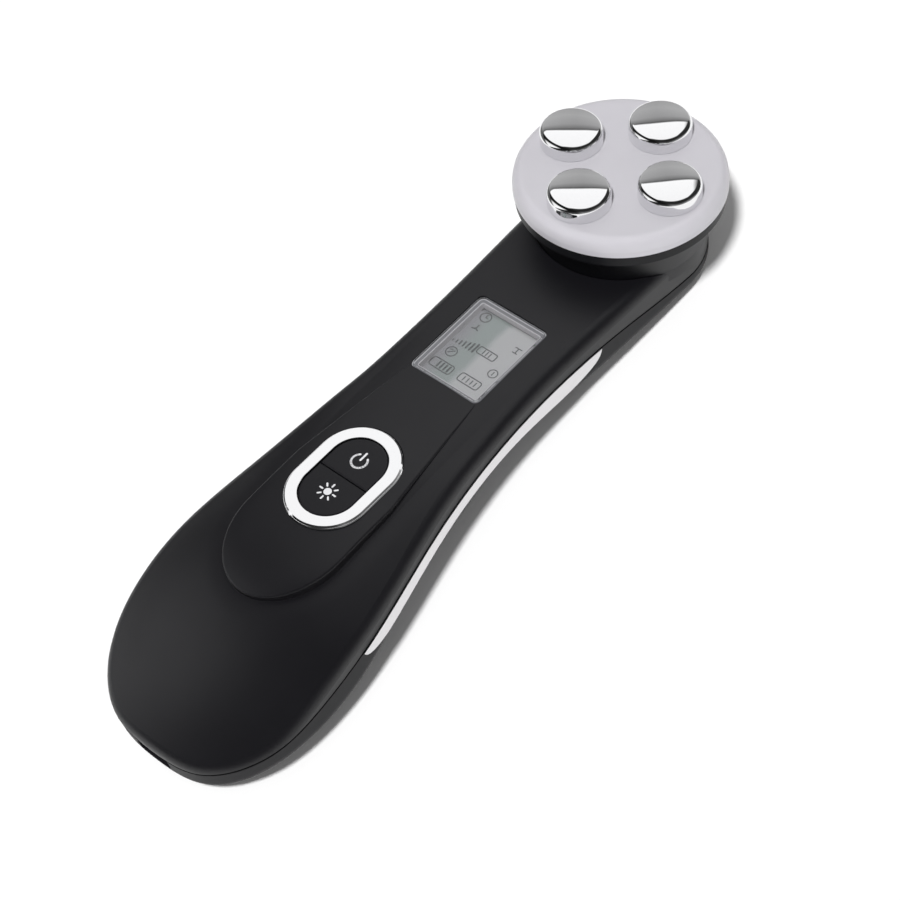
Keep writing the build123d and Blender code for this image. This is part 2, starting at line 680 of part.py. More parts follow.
def collar_room():
    """What is cleared over the collar's seat: its flare with a clearance, then upright."""
    flare = COLLAR_FOOT - RIM_HEIGHT
    cone = Cone(
        COLLAR_FOOT_RADIUS + COLLAR_GAP, COLLAR_TOP_RADIUS + COLLAR_GAP, flare,
        align=(Align.CENTER, Align.CENTER, Align.MIN),
    )
    return HEAD * (Pos(0, 0, -COLLAR_FOOT) * cone + cylinder(COLLAR_TOP_RADIUS + COLLAR_GAP, -RIM_HEIGHT, BIG))


def under_deck():
    """Frame under the window's seat, and the floor and screw seats under the collar, up through the deck."""
    frame = slab(WINDOW_LENGTH + 2, WINDOW_WIDTH + 2, -SEAT_FRAME_DEPTH, REACH, WINDOW_CORNER)
    pieces = [DECK * Pos(WINDOW_FROM_KEYS, 0, 0) * frame]
    pieces.append(HEAD * cylinder(COLLAR_FOOT_RADIUS - 1, -COLLAR_FOOT - WALL, -COLLAR_FOOT / 2))
    for place in around(HEAD_SCREW_CIRCLE, HEAD_SCREW_ANGLES):
        pieces.append(HEAD * place * cylinder(SCREW_HEAD_RADIUS + 0.8, -HEAD_SEAT, -COLLAR_FOOT / 2))
    return pieces


def make_top_shell(outer, cavity):
    """Upper housing half: crowned deck, raised tongue, window and key openings, lip, posts and bosses."""
    pad = HEAD * cylinder(COLLAR_FOOT_RADIUS, -HEAD_SEAT, -COLLAR_FOOT)
    lip = (plan_prism(WALL - LIP_THICKNESS) & parting_band(-LIP_HEIGHT, 1)) - lip_notches()
    core = (outer & parting_band(0, BIG)) + tongue()
    core = ((core + pad) & parting_band(0, BIG)) - collar_room()
    hanging = [post & parting_band(-BIG, 1) for post in top_posts()]
    core = core + lip
    core = core + [post for post in hanging if post.volume > 1]
    shell = core - (cavity - (top_posts() + under_deck()))
    return largest(shell - (deck_openings() + top_holes()))


# ================================================================ bottom shell
def saddle(x, z, radius, width):
    """Upright rib across the floor with a half-round seat for a lying cylinder."""
    rib = Pos(x, 0, z / 2) * Box(SADDLE_THICKNESS, width, z)
    seat = cylinder(radius + SADDLE_GAP, -SADDLE_THICKNESS, SADDLE_THICKNESS)
    return rib - Pos(x, 0, z) * Rot(0, 90, 0) * seat


def bottom_posts():
    """Saddles, screw tubes and posts that stand on the floor, still running down through it."""
    posts = []
    for offset in (-0.3, 0.3):
        x = BATTERY_X + offset * BATTERY_LENGTH
        posts.append(saddle(x, BATTERY_Z, BATTERY_DIAMETER / 2, BATTERY_DIAMETER + 3))
        x = MOTOR_X + offset * MOTOR_LENGTH
        posts.append(saddle(x, MOTOR_Z, MOTOR_DIAMETER / 2, MOTOR_DIAMETER + 3))
    for x, y in SHELL_SCREW_PLACES:
        posts.append(Pos(x, y, 0) * cylinder(SCREW_HEAD_RADIUS + BOSS_WALL * 0.7, 0, joint_level(x)))
    top = CHARGE_BOARD_TOP - CHARGE_BOARD_THICKNESS
    for y in CHARGE_POST_SIDES:
        posts.append(Pos(CHARGE_POST_X, y, 0) * cylinder(SMALL_SCREW_HEAD_RADIUS + 0.2, 0, top))
    return posts


def bottom_holes():
    """Screw holes with counterbores, the strips' pin holes, the charging slot and its board's relief."""
    slot = Box(3 * WALL, SLOT_WIDTH, SLOT_HEIGHT)
    slot = fillet(slot.edges().filter_by(Axis.X), SLOT_HEIGHT * 0.25)
    relief = slab(
        CHARGE_BOARD_LENGTH - 6, CHARGE_BOARD_WIDTH + 2 * RELIEF_GAP,
        CHARGE_BOARD_TOP - CHARGE_BOARD_THICKNESS - RELIEF_GAP, PARTING_AT_TIP - LIP_HEIGHT - 0.4,
    )
    holes = [Pos(TIP_X, 0, SOCKET_Z) * slot, Pos(CHARGE_BOARD_X - 3 - RELIEF_GAP, 0, 0) * relief]
    for x, y in SHELL_SCREW_PLACES:
        top = joint_level(x)
        seat = top - (SCREW_LENGTH - SCREW_GRIP)
        stepped = cylinder(SCREW_HEAD_RADIUS + SCREW_CLEARANCE, -1, seat)
        stepped = stepped + cylinder(SCREW_SHANK_RADIUS + SCREW_CLEARANCE, seat - 1, top + 1)
        holes.append(Pos(x, y, 0) * stepped)
    bottom = CHARGE_BOARD_TOP - SHORT_SCREW_LENGTH - PILOT_SPARE
    for y in CHARGE_POST_SIDES:
        holes.append(Pos(CHARGE_POST_X, y, 0) * cylinder(SMALL_SCREW_RADIUS, bottom, CHARGE_BOARD_TOP))
    pin_hole = Rot(90, 0, 0) * cylinder(STRIP_PIN_RADIUS + 0.05, -2 * WALL, 2 * WALL)
    for side in (-1, 1):
        holes.extend(Pos(*place) * pin_hole for place in side_places(side))
    return holes


def make_bottom_shell(outer, cavity):
    """Lower housing half: rounded belly, rebate, strip seats, screw tubes, saddles and charging slot."""
    rebate = plan_prism(WALL - LIP_THICKNESS - LIP_GAP) & parting_band(-LIP_HEIGHT - LIP_GAP, 1)
    core = (outer & parting_band(-BIG, 0)) - strip_seats()
    shell = (core - rebate) - (cavity - bottom_posts())
    return largest(shell - bottom_holes())


# ================================================================ deck: window, display, keys
def make_display_window():
    """Clear window plate with a bevelled upper edge."""
    plate = slab(WINDOW_LENGTH, WINDOW_WIDTH, -WINDOW_THICKNESS - WINDOW_SINK, -WINDOW_SINK, WINDOW_CORNER)
    plate = chamfer(plate.edges().group_by(Axis.Z)[-1], WINDOW_BEVEL)
    return DECK * Pos(WINDOW_FROM_KEYS, 0, 0) * plate


def display_slab(bottom, top, corner=0.0):
    """Slab of the display's size under the window."""
    plate = slab(WINDOW_LENGTH - 2 * LCD_FRAME, WINDOW_WIDTH - 2 * LCD_FRAME, bottom, top, corner)
    return Pos(WINDOW_FROM_KEYS, 0, 0) * plate


def make_display_gasket():
    """Foam frame between the window's seat and the display."""
    bottom = -SEAT_FRAME_DEPTH - GASKET_THICKNESS
    opening = slab(WINDOW_LENGTH - 2 * WINDOW_LEDGE, WINDOW_WIDTH - 2 * WINDOW_LEDGE, bottom - 1, 0)
    frame = display_slab(bottom, -SEAT_FRAME_DEPTH) - Pos(WINDOW_FROM_KEYS, 0, 0) * opening
    return DECK * frame


def make_lcd_panel():
    """Two-layer display glass: the lower glass is longer, for its contacts."""
    top = -SEAT_FRAME_DEPTH - GASKET_THICKNESS
    upper = display_slab(top - LCD_THICKNESS / 2, top)
    lower = display_slab(top - LCD_THICKNESS, top - LCD_THICKNESS / 2)
    contact_ledge = Pos(WINDOW_FROM_KEYS + WINDOW_LENGTH / 2 - LCD_FRAME, 0, top) * Box(3, BIG, LCD_THICKNESS)
    return DECK * ((upper - contact_ledge) + lower)


def make_lcd_backlight():
    """Light guide and frame that stand the display off the main board."""
    top = -SEAT_FRAME_DEPTH - GASKET_THICKNESS - LCD_THICKNESS
    guide = display_slab(-BOARD_DEPTH, top)
    relief = Pos(WINDOW_FROM_KEYS, 0, -BOARD_DEPTH) * Box(WINDOW_LENGTH * 0.6, WINDOW_WIDTH * 0.6, 1)
    return DECK * (guide - relief)


def bezel_stakes():
    """Places of the ring's four stakes, two at each end of its straight sides."""
    across = KEY_OPENING_WIDTH / 2 + BEZEL_WIDTH * 0.72
    along = (KEY_OPENING_LENGTH - KEY_OPENING_WIDTH) / 2
    return [Pos(a * along, b * across, 0) for a in (-1, 1) for b in (-1, 1)]


def make_key_bezel():
    """Polished ring round the keys, held by four stakes through the deck."""
    face = stadium(BEZEL_WIDTH, -BEZEL_SEAT, BEZEL_PROUD)
    face = chamfer(face.edges().group_by(Axis.Z)[-1], BEZEL_BEVEL)
    face = face - stadium(0, -BEZEL_SEAT - 1, BEZEL_PROUD + 1)
    head_top = -TONGUE_RAISE - WALL - STAKE_HEAD_GAP
    for place in bezel_stakes():
        face = face + place * cylinder(STAKE_RADIUS, head_top - STAKE_HEAD_HEIGHT, -BEZEL_SEAT)
        face = face + place * cylinder(STAKE_HEAD_RADIUS, head_top - STAKE_HEAD_HEIGHT, head_top)
    return DECK * face.solids()[0]


def make_key(end):
    """Half-stadium key cap: hollow, with a retaining flange and a post over its switch. end is 1 or -1."""
    flange_top = -TONGUE_RAISE - WALL - 0.15
    flange_bottom = flange_top - KEY_FLANGE_HEIGHT
    plunger_top = -BOARD_DEPTH + SWITCH_HEIGHT + PLUNGER_PROUD
    side = Pos(end * (BIG / 2 + KEY_GAP / 2), 0, 0) * Box(BIG, BIG, BIG)
    inner_side = Pos(end * (BIG / 2 + KEY_GAP / 2 + KEY_WALL), 0, 0) * Box(BIG, BIG, BIG)
    cap = stadium(-KEY_GAP, flange_bottom, KEY_PROUD) & side
    cap = fillet(cap.edges().group_by(Axis.Z)[-1], 0.4)
    cap = cap + (stadium(KEY_FLANGE - KEY_GAP, flange_bottom, flange_top) & side)
    pocket = stadium(-KEY_GAP - KEY_WALL, flange_bottom - 1, KEY_PROUD - KEY_WALL) & inner_side
    cap = cap - pocket
    post = Pos(end * SWITCH_FROM_SPLIT, 0, 0) * cylinder(POST_RADIUS, plunger_top + POST_GAP, KEY_PROUD - 0.6)
    rib = Pos(end * SWITCH_FROM_SPLIT, 0, -1.4) * Box(0.8, KEY_OPENING_WIDTH - 2 * KEY_WALL, 1.4)
    return DECK * (cap + post + rib).solids()[0]


def make_switch(end):
    """Body of the push switch under a key."""
    top = -BOARD_DEPTH + SWITCH_HEIGHT
    body = chamfer(slab(SWITCH_SIZE, SWITCH_SIZE, -BOARD_DEPTH, top).edges().filter_by(Axis.Z), 0.5)
    well = cylinder(PLUNGER_RADIUS + PLUNGER_CLEARANCE, top - 1.6, top + 1)
    return DECK * Pos(end * SWITCH_FROM_SPLIT, 0, 0) * (body - well)


def make_switch_plunger(end):
    """Plunger of a push switch."""
    top = -BOARD_DEPTH + SWITCH_HEIGHT
    plunger = cylinder(PLUNGER_RADIUS, top - 1.6 + PLUNGER_TRAVEL + 0.1, top + PLUNGER_PROUD)
    plunger = chamfer(plunger.edges().group_by(Axis.Z)[-1], 0.2)
    return DECK * Pos(end * SWITCH_FROM_SPLIT, 0, 0) * plunger


# ================================================================ electronics
def make_main_board():
    """Main circuit board, hung under the deck."""
    board = slab(BOARD_HEAD_END + BOARD_TAIL_END, BOARD_WIDTH, BOARD_UNDERSIDE, -BOARD_DEPTH, 2.0)
    board = Pos(BOARD_MIDDLE, 0, 0) * board
    for place in BOARD_SCREW_PLACES:
        board = board - place * cylinder(SMALL_SCREW_RADIUS + 0.2, BOARD_UNDERSIDE - 1, 0)
    return DECK * board


def make_board_screws():
    """Small screws that hold the main board to the deck's posts."""
    screw = fastener(SMALL_SCREW_RADIUS, SMALL_SCREW_HEAD_RADIUS, SMALL_SCREW_HEAD_HEIGHT, SMALL_SCREW_LENGTH)
    return joined([DECK * place * Pos(0, 0, BOARD_UNDERSIDE) * screw for place in BOARD_SCREW_PLACES])


def make_control_chip():
    """Controller in a flat square package with leads on four sides, under the board."""
    body = chamfer(slab(10, 10, -1.6, -0.15).edges().filter_by(Axis.Z), 0.6)
    leads = []
    for turn in range(4):
        for step in range(6):
            lead = Pos(5.5, (step - 2.5) * 1.4, -0.35) * Box(1.6, 0.5, 0.7)
            leads.append(Rot(0, 0, 90 * turn) * lead)
    chip = body
    for lead in leads:
        chip = chip + lead
    return DECK * Pos(6, 0, BOARD_UNDERSIDE) * chip.solids()[0]


def make_output_transformer():
    """Ferrite transformer that drives the electrodes, under the board."""
    core = slab(13, 12, -6, 0) - Pos(0, 0, -3) * Box(7.4, 20, 3.4)
    winding = slab(7.4, 14, -4.7, -1.3)
    return DECK * Pos(36, 0, BOARD_UNDERSIDE) * (core + winding)


def make_battery_connector():
    """Two-pole socket for the battery leads, under the board."""
    body = slab(6, 7.6, -4.2, 0)
    mouth = Pos(-2, 0, -2.2) * Box(4, 5.6, 2.8)
    pins = [Pos(-0.5, across * 1.25, -2.2) * Box(3.6, 0.6, 0.6) for across in (-1, 1)]
    return DECK * Pos(19, 0, BOARD_UNDERSIDE) * (body - mouth + pins[0] + pins[1])


def make_battery_cell():
    """Cylindrical cell with a raised positive end."""
    half = BATTERY_LENGTH / 2
    can = fillet(cylinder(BATTERY_DIAMETER / 2, -half, half - 1).edges(), 0.6)
    cell = can + cylinder(BATTERY_DIAMETER * 0.2, half - 1.2, half)
    return Pos(BATTERY_X, 0, BATTERY_Z) * Rot(0, 90, 0) * cell


def make_battery_pad():
    """Foam pad stuck under the board, pressed down over the cell."""
    pad = DECK * Pos(7.5 - BOARD_TAIL_END, 0, 0) * slab(14, 9, BOARD_UNDERSIDE - 4, BOARD_UNDERSIDE)
    cell = Rot(0, 90, 0) * cylinder(BATTERY_DIAMETER / 2, -BIG / 2, BIG / 2)
    below = Box(BIG, BIG, BATTERY_DIAMETER - 2)
    return largest(pad - Pos(BATTERY_X, 0, BATTERY_Z) * (cell + below))


def make_charge_board():
    """Small board that carries the charging socket."""
    top = CHARGE_BOARD_TOP
    board = slab(CHARGE_BOARD_LENGTH, CHARGE_BOARD_WIDTH, top - CHARGE_BOARD_THICKNESS, top, 1.0)
    board = Pos(CHARGE_BOARD_X, 0, 0) * board
    for y in CHARGE_POST_SIDES:
        board = board - Pos(CHARGE_POST_X, y, 0) * cylinder(SMALL_SCREW_RADIUS + 0.2, 0, BIG)
    return board.solids()[0]


def make_charge_board_screws():
    """Two short screws that hold the charging board on its posts."""
    screw = fastener(
        SMALL_SCREW_RADIUS, SMALL_SCREW_HEAD_RADIUS, SMALL_SCREW_HEAD_HEIGHT, SHORT_SCREW_LENGTH,
    )
    screw = Pos(0, 0, CHARGE_BOARD_TOP) * Rot(180, 0, 0) * screw
    return joined([Pos(CHARGE_POST_X, y, 0) * screw for y in CHARGE_POST_SIDES])


def make_charging_socket():
    """Metal shell of the charging socket, tapered below, with its contact tongue inside."""
    half, high = SOCKET_WIDTH / 2, SOCKET_HEIGHT

    def profile(inset):
        with BuildSketch(Plane.YZ) as sketch:
            with BuildLine():
                Polyline(
                    (-half + inset, high - inset), (half - inset, high - inset),
                    (half - inset, high * 0.42), (half - 0.9 - inset * 0.4, inset),
                    (-half + 0.9 + inset * 0.4, inset), (-half + inset, high * 0.42),
                    (-half + inset, high - inset),
                )
            make_face()
        return sketch.sketch

    shell = extrude(profile(0), SOCKET_LENGTH)
    hollow = Pos(-1, 0, 0) * extrude(profile(SOCKET_WALL), SOCKET_LENGTH)
    tongue_plate = Pos(SOCKET_LENGTH / 2 - 0.4, 0, high * 0.58) * Box(SOCKET_LENGTH - 0.8, half, 0.5)
    socket = shell - hollow + tongue_plate
    return Pos(CHARGE_BOARD_X - CHARGE_BOARD_LENGTH / 2 - 0.7, 0, CHARGE_BOARD_TOP) * socket.solids()[0]


def make_vibration_motor():
    """Small can motor, lying along the neck."""
    half = MOTOR_LENGTH / 2
    can = fillet(cylinder(MOTOR_DIAMETER / 2, -half, half).edges(), 0.4)
    nose = cylinder(MOTOR_DIAMETER * 0.2, half - 0.1, half + WEIGHT_GAP * 0.5)
    bore = cylinder(MOTOR_SHAFT_RADIUS + 0.05, half - 2.5, half + 2)
    return Pos(MOTOR_X, 0, MOTOR_Z) * Rot(0, 90, 0) * (can + nose - bore)


def make_motor_weight():
    """Off-centre weight with its shaft."""
    start = MOTOR_LENGTH / 2 + WEIGHT_GAP
    weight = cylinder(WEIGHT_RADIUS, start, start + WEIGHT_LENGTH)
    weight = weight - Pos(MOTOR_SHAFT_RADIUS + 0.6 + BIG / 2, 0, 0) * Box(BIG, BIG, BIG)
    shaft = cylinder(MOTOR_SHAFT_RADIUS, MOTOR_LENGTH / 2 - 2.3, start + WEIGHT_LENGTH)
    return Pos(MOTOR_X, 0, MOTOR_Z) * Rot(0, 90, 0) * (weight + shaft)


# ================================================================ head
def revolved(points):
    """Solid of revolution about Z from (radius, height) points."""
    with BuildSketch(Plane.XZ) as sketch:
        with BuildLine():
            Polyline(*points, points[0])
        make_face()
    return revolve(sketch.sketch, Axis.Z)


def make_head_rim():
    """Black ring under the disc."""
    band = ring(RIM_RADIUS, SPIGOT_RADIUS + RIM_GAP, -RIM_HEIGHT, 0)
    band = chamfer(band.edges().group_by(Axis.Z)[0], 0.3)
    return HEAD * band


def make_head_collar():
    """Flared collar with a floor, a ledge for the lamp board and blind bosses for its fixings."""
    spigot = SPIGOT_RADIUS
    floor_top = -COLLAR_FOOT + COLLAR_FLOOR
    ledge = -LED_BOARD_DEPTH - BOARD_THICKNESS
    collar = revolved([
        (0, -COLLAR_FOOT), (COLLAR_FOOT_RADIUS, -COLLAR_FOOT), (COLLAR_TOP_RADIUS, -RIM_HEIGHT),
        (spigot, -RIM_HEIGHT), (spigot, -RIM_HEIGHT + 1.4), (spigot - DISC_SKIRT_WALL, -RIM_HEIGHT + 1.4),
        (spigot - DISC_SKIRT_WALL, -RIM_HEIGHT), (LED_BOARD_RADIUS + 0.3, ledge),
        (LED_BOARD_RADIUS - 1.2, ledge), (COLLAR_FOOT_RADIUS - COLLAR_FLOOR, floor_top), (0, floor_top),
    ])
    for place in around(HEAD_SCREW_CIRCLE, HEAD_SCREW_ANGLES):
        collar = collar + place * cylinder(SCREW_SHANK_RADIUS + BOSS_WALL, floor_top, ledge)
        collar = collar - place * cylinder(SCREW_SHANK_RADIUS, -COLLAR_FOOT - 1, ledge - 0.6)
    pilot_bottom = -LED_BOARD_DEPTH - SHORT_SCREW_LENGTH - PILOT_SPARE
    for place in around(LED_SCREW_CIRCLE, LED_SCREW_ANGLES):
        boss = place * cylinder(SMALL_SCREW_HEAD_RADIUS + 0.6, floor_top, ledge)
        collar = collar + boss - place * cylinder(SMALL_SCREW_RADIUS, pilot_bottom, ledge + 1)
    return HEAD * (collar - cylinder(CABLE_HOLE_RADIUS, -COLLAR_FOOT - 1, 0)).solids()[0]


def make_head_screws():
    """Three screws that hold the collar from inside the handle."""
    length = HEAD_SEAT - LED_BOARD_DEPTH - BOARD_THICKNESS - 1.0
    screw = fastener(SCREW_SHANK_RADIUS, SCREW_HEAD_RADIUS, SCREW_HEAD_HEIGHT, length)
    return joined([
        HEAD * place * Pos(0, 0, -HEAD_SEAT) * screw for place in around(HEAD_SCREW_CIRCLE, HEAD_SCREW_ANGLES)
    ])


def make_diffuser_disc():
    """Milky cap: thin edge, soft sloped shoulder, flat plateau, hollow below with a locating skirt."""
    skirt = SPIGOT_RADIUS
    with BuildSketch(Plane.XZ) as sketch:
        with BuildLine():
            edge = Line((DISC_RADIUS, 0), (DISC_RADIUS, DISC_EDGE))
            shoulder = Spline(
                edge @ 1, (DISC_PLATEAU_RADIUS, DISC_RISE), tangents=[(-0.1, 1), (-1, 0)],
            )
            inner_top = DISC_RISE - DISC_WALL
            Polyline(
                shoulder @ 1, (0, DISC_RISE), (0, inner_top), (skirt - DISC_SKIRT_WALL, inner_top),
                (skirt - DISC_SKIRT_WALL, -RIM_HEIGHT + 1.5), (skirt, -RIM_HEIGHT + 1.5), (skirt, 0),
                (DISC_RADIUS, 0),
            )
        make_face()
    disc = revolve(sketch.sketch, Axis.Z)
    for place in around(ELECTRODE_CIRCLE, (0, 90, 180, 270)):
        disc = disc - place * cylinder(STUD_RADIUS + 0.1, -1, DISC_RISE + 1)
    return HEAD * disc


def make_electrode(angle):
    """Polished domed cap with a threaded stud."""
    cap_top = DISC_RISE + ELECTRODE_SIDE
    with BuildSketch(Plane.XZ) as sketch:
        with BuildLine():
            Polyline((0, cap_top + ELECTRODE_DOME), (0, DISC_RISE), (ELECTRODE_RADIUS, DISC_RISE))
            Line((ELECTRODE_RADIUS, DISC_RISE), (ELECTRODE_RADIUS, cap_top))
            dome_radius = (ELECTRODE_RADIUS ** 2 + ELECTRODE_DOME ** 2) / (2 * ELECTRODE_DOME)
            part_way = ELECTRODE_RADIUS * 0.5
            fall = dome_radius - sqrt(dome_radius ** 2 - part_way ** 2)
            ThreePointArc(
                (ELECTRODE_RADIUS, cap_top), (part_way, cap_top + ELECTRODE_DOME - fall),
                (0, cap_top + ELECTRODE_DOME),
            )
        make_face()
    cap = revolve(sketch.sketch, Axis.Z)
    shoulder = [edge for edge in cap.edges() if abs(edge.center().Z - cap_top) < 0.01 and edge.length > 10]
    cap = fillet(shoulder, ELECTRODE_SHOULDER)
    cap = cap + cylinder(STUD_RADIUS, DISC_RISE - STUD_LENGTH, DISC_RISE)
    return HEAD * around(ELECTRODE_CIRCLE, (angle,))[0] * cap.solids()[0]


def make_electrode_nuts():
    """Hexagon nuts under the disc, one on each stud."""
    top = DISC_RISE - DISC_WALL
    hexagon = Pos(0, 0, top - NUT_HEIGHT) * extrude(
        RegularPolygon(NUT_ACROSS_FLATS / 2, 6, major_radius=False), NUT_HEIGHT,
    )
    nut = hexagon - cylinder(STUD_RADIUS, top - NUT_HEIGHT - 1, top + 1)
    return joined([HEAD * place * nut for place in around(ELECTRODE_CIRCLE, (0, 90, 180, 270))])


def make_led_board():
    """Round lamp board under the disc."""
    board = cylinder(LED_BOARD_RADIUS, -LED_BOARD_DEPTH - BOARD_THICKNESS, -LED_BOARD_DEPTH)
    for place in around(LED_SCREW_CIRCLE, LED_SCREW_ANGLES):
        board = board - place * cylinder(SMALL_SCREW_RADIUS + 0.2, -COLLAR_FOOT, 0)
    return HEAD * board


def make_light_emitters():
    """Square lamps on the lamp board: one in the middle and two rings between the electrodes."""
    lamp = slab(LED_SIZE, LED_SIZE, -LED_BOARD_DEPTH, -LED_BOARD_DEPTH + LED_HEIGHT)
    lamp = lamp - cylinder(LED_SIZE * 0.4, -LED_BOARD_DEPTH + LED_HEIGHT - 0.3, 0)
    diagonals = (45, 135, 225, 315)
    places = [Pos(0, 0, 0)] + around(LED_INNER_CIRCLE, diagonals) + around(LED_OUTER_CIRCLE, diagonals)
    return joined([HEAD * place * lamp for place in places])


def make_led_board_screws():
    """Two small screws that hold the lamp board in the collar."""
    screw = fastener(
        SMALL_SCREW_RADIUS, SMALL_SCREW_HEAD_RADIUS, SMALL_SCREW_HEAD_HEIGHT * 0.8, SHORT_SCREW_LENGTH,
    )
    screw = Pos(0, 0, -LED_BOARD_DEPTH) * Rot(180, 0, 0) * screw
    return joined([HEAD * place * screw for place in around(LED_SCREW_CIRCLE, LED_SCREW_ANGLES)])


def make_shell_screws():
    """Four self-tapping screws in deep counterbores in the underside."""
    screw = fastener(SCREW_SHANK_RADIUS, SCREW_HEAD_RADIUS, SCREW_HEAD_HEIGHT, SCREW_LENGTH)
    screws = []
    for x, y in SHELL_SCREW_PLACES:
        screws.append(Pos(x, y, joint_level(x) - (SCREW_LENGTH - SCREW_GRIP)) * screw)
    return joined(screws)


# ================================================================ build
def write(name, shape):
    """Write one node, and say what it holds."""
    export_step(shape, f"parts/{name}.step")
    print(f"{name}: {len(shape.solids())} solids, {shape.volume:.1f} mm3")


def main():
    """Build every piece and write it as its own node."""
    os.makedirs("parts", exist_ok=True)
    outer = handle_form()
    cavity = bare_form(WALL)
    write("top_shell", make_top_shell(outer, cavity))
    write("bottom_shell", make_bottom_shell(outer, cavity))
    left_strip = make_left_strip()
    write("left_contact_strip", left_strip)
    write("right_contact_strip", mirror(left_strip, about=Plane.XZ))
    write("strip_clips", make_strip_clips())
    write("shell_screws", make_shell_screws())

    write("display_window", make_display_window())
    write("display_gasket", make_display_gasket())
    write("lcd_panel", make_lcd_panel())
    write("lcd_backlight", make_lcd_backlight())
    write("key_bezel", make_key_bezel())
    for key, end in (("power", 1), ("light", -1)):
        write(f"{key}_key", make_key(end))
        write(f"{key}_switch", make_switch(end))
        write(f"{key}_switch_plunger", make_switch_plunger(end))

    write("main_board", make_main_board())
    write("board_screws", make_board_screws())
    write("control_chip", make_control_chip())
    write("output_transformer", make_output_transformer())
    write("battery_connector", make_battery_connector())
    write("battery_cell", make_battery_cell())
    write("battery_pad", make_battery_pad())
    write("charge_board", make_charge_board())
    write("charge_board_screws", make_charge_board_screws())
    write("charging_socket", make_charging_socket())
    write("vibration_motor", make_vibration_motor())
    write("motor_weight", make_motor_weight())

    write("head_rim", make_head_rim())
    write("head_collar", make_head_collar())
    write("head_screws", make_head_screws())
    write("diffuser_disc", make_diffuser_disc())
    for name, angle in (("front", 0), ("left", 90), ("rear", 180), ("right", 270)):
        write(f"{name}_electrode", make_electrode(angle))
    write("electrode_nuts", make_electrode_nuts())
    write("led_board", make_led_board())
    write("light_emitters", make_light_emitters())
    write("led_board_screws", make_led_board_screws())


if __name__ == "__main__":
    main()
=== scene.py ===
"""Facial toning device: the look of its pieces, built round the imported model."""

import logging
from dataclasses import dataclass, field
from enum import Enum
from functools import cache
from math import asin, cos, pi, radians, sin, sqrt
from typing import Union

import bpy
import numpy as np
from mathutils import Matrix
from mathutils.bvhtree import BVHTree
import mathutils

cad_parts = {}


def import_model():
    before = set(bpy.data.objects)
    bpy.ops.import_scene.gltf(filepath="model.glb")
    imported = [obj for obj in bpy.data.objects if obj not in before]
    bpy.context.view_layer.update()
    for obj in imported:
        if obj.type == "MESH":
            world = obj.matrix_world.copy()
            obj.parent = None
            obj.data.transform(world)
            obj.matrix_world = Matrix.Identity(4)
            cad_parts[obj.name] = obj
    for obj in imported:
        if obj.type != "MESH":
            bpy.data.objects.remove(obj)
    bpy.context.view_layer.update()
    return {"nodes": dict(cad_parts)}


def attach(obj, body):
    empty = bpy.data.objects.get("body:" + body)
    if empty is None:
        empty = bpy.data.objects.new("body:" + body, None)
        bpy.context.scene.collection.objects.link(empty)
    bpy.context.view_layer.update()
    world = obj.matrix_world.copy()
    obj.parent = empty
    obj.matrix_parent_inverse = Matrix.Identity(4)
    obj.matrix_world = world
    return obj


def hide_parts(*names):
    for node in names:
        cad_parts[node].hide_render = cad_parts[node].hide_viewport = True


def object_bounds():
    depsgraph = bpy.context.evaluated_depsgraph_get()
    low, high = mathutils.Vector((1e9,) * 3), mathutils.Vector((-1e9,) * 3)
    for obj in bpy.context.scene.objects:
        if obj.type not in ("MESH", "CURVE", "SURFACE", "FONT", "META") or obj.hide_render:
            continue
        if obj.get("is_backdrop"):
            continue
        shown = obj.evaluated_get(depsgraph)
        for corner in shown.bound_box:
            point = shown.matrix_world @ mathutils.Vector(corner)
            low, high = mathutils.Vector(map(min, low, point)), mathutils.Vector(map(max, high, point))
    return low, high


Color = tuple[float, float, float]
Vector = tuple[float, float, float]
Point = tuple[float, float]
Span = tuple[float, float]
Stops = tuple[tuple[float, float], ...]
Nodes = dict[str, bpy.types.Object]

MM = 0.001
LOG = logging.getLogger("toning_device")


# ---------------------------------------------------------------- shader maths
@dataclass(frozen=True)
class Signal:
    """An output socket of a shader, on which sums and products are written as plain expressions."""

    graph: "Graph"
    socket: bpy.types.NodeSocket

    def math(self, operation: str, first: "Value", second: "Value" = 0.0) -> "Signal":
        """Joins two values by one Math node.

        Args:
            operation: the Math node's operation.
            first: its first value.
            second: its second value.

        Returns:
            The result as a signal.
        """
        return self.graph.add("ShaderNodeMath", {"operation": operation}, {0: first, 1: second})

    def __add__(self, other: "Value") -> "Signal":
        """Sum."""
        return self.math("ADD", self, other)

    def __sub__(self, other: "Value") -> "Signal":
        """Difference."""
        return self.math("SUBTRACT", self, other)

    def __rsub__(self, other: "Value") -> "Signal":
        """Difference with the number first."""
        return self.math("SUBTRACT", other, self)

    def __mul__(self, other: "Value") -> "Signal":
        """Product."""
        return self.math("MULTIPLY", self, other)

    __radd__ = __add__
    __rmul__ = __mul__

    def __abs__(self) -> "Signal":
        """Size without the sign."""
        return self.math("ABSOLUTE", self)

    def larger(self, other: "Value") -> "Signal":
        """The larger of the two."""
        return self.math("MAXIMUM", self, other)

    def smaller(self, other: "Value") -> "Signal":
        """The smaller of the two."""
        return self.math("MINIMUM", self, other)

    def root(self) -> "Signal":
        """Square root."""
        return self.math("SQRT", self)

    def angle_from(self, upright: "Signal") -> "Signal":
        """Angle, in radians, whose tangent is this signal over the upright one."""
        return self.math("ARCTAN2", self, upright)

    def twin(self, name: str) -> "Signal":
        """Another output of the same node."""
        return Signal(self.graph, self.socket.node.outputs[name])


Value = Union[float, tuple, Signal]


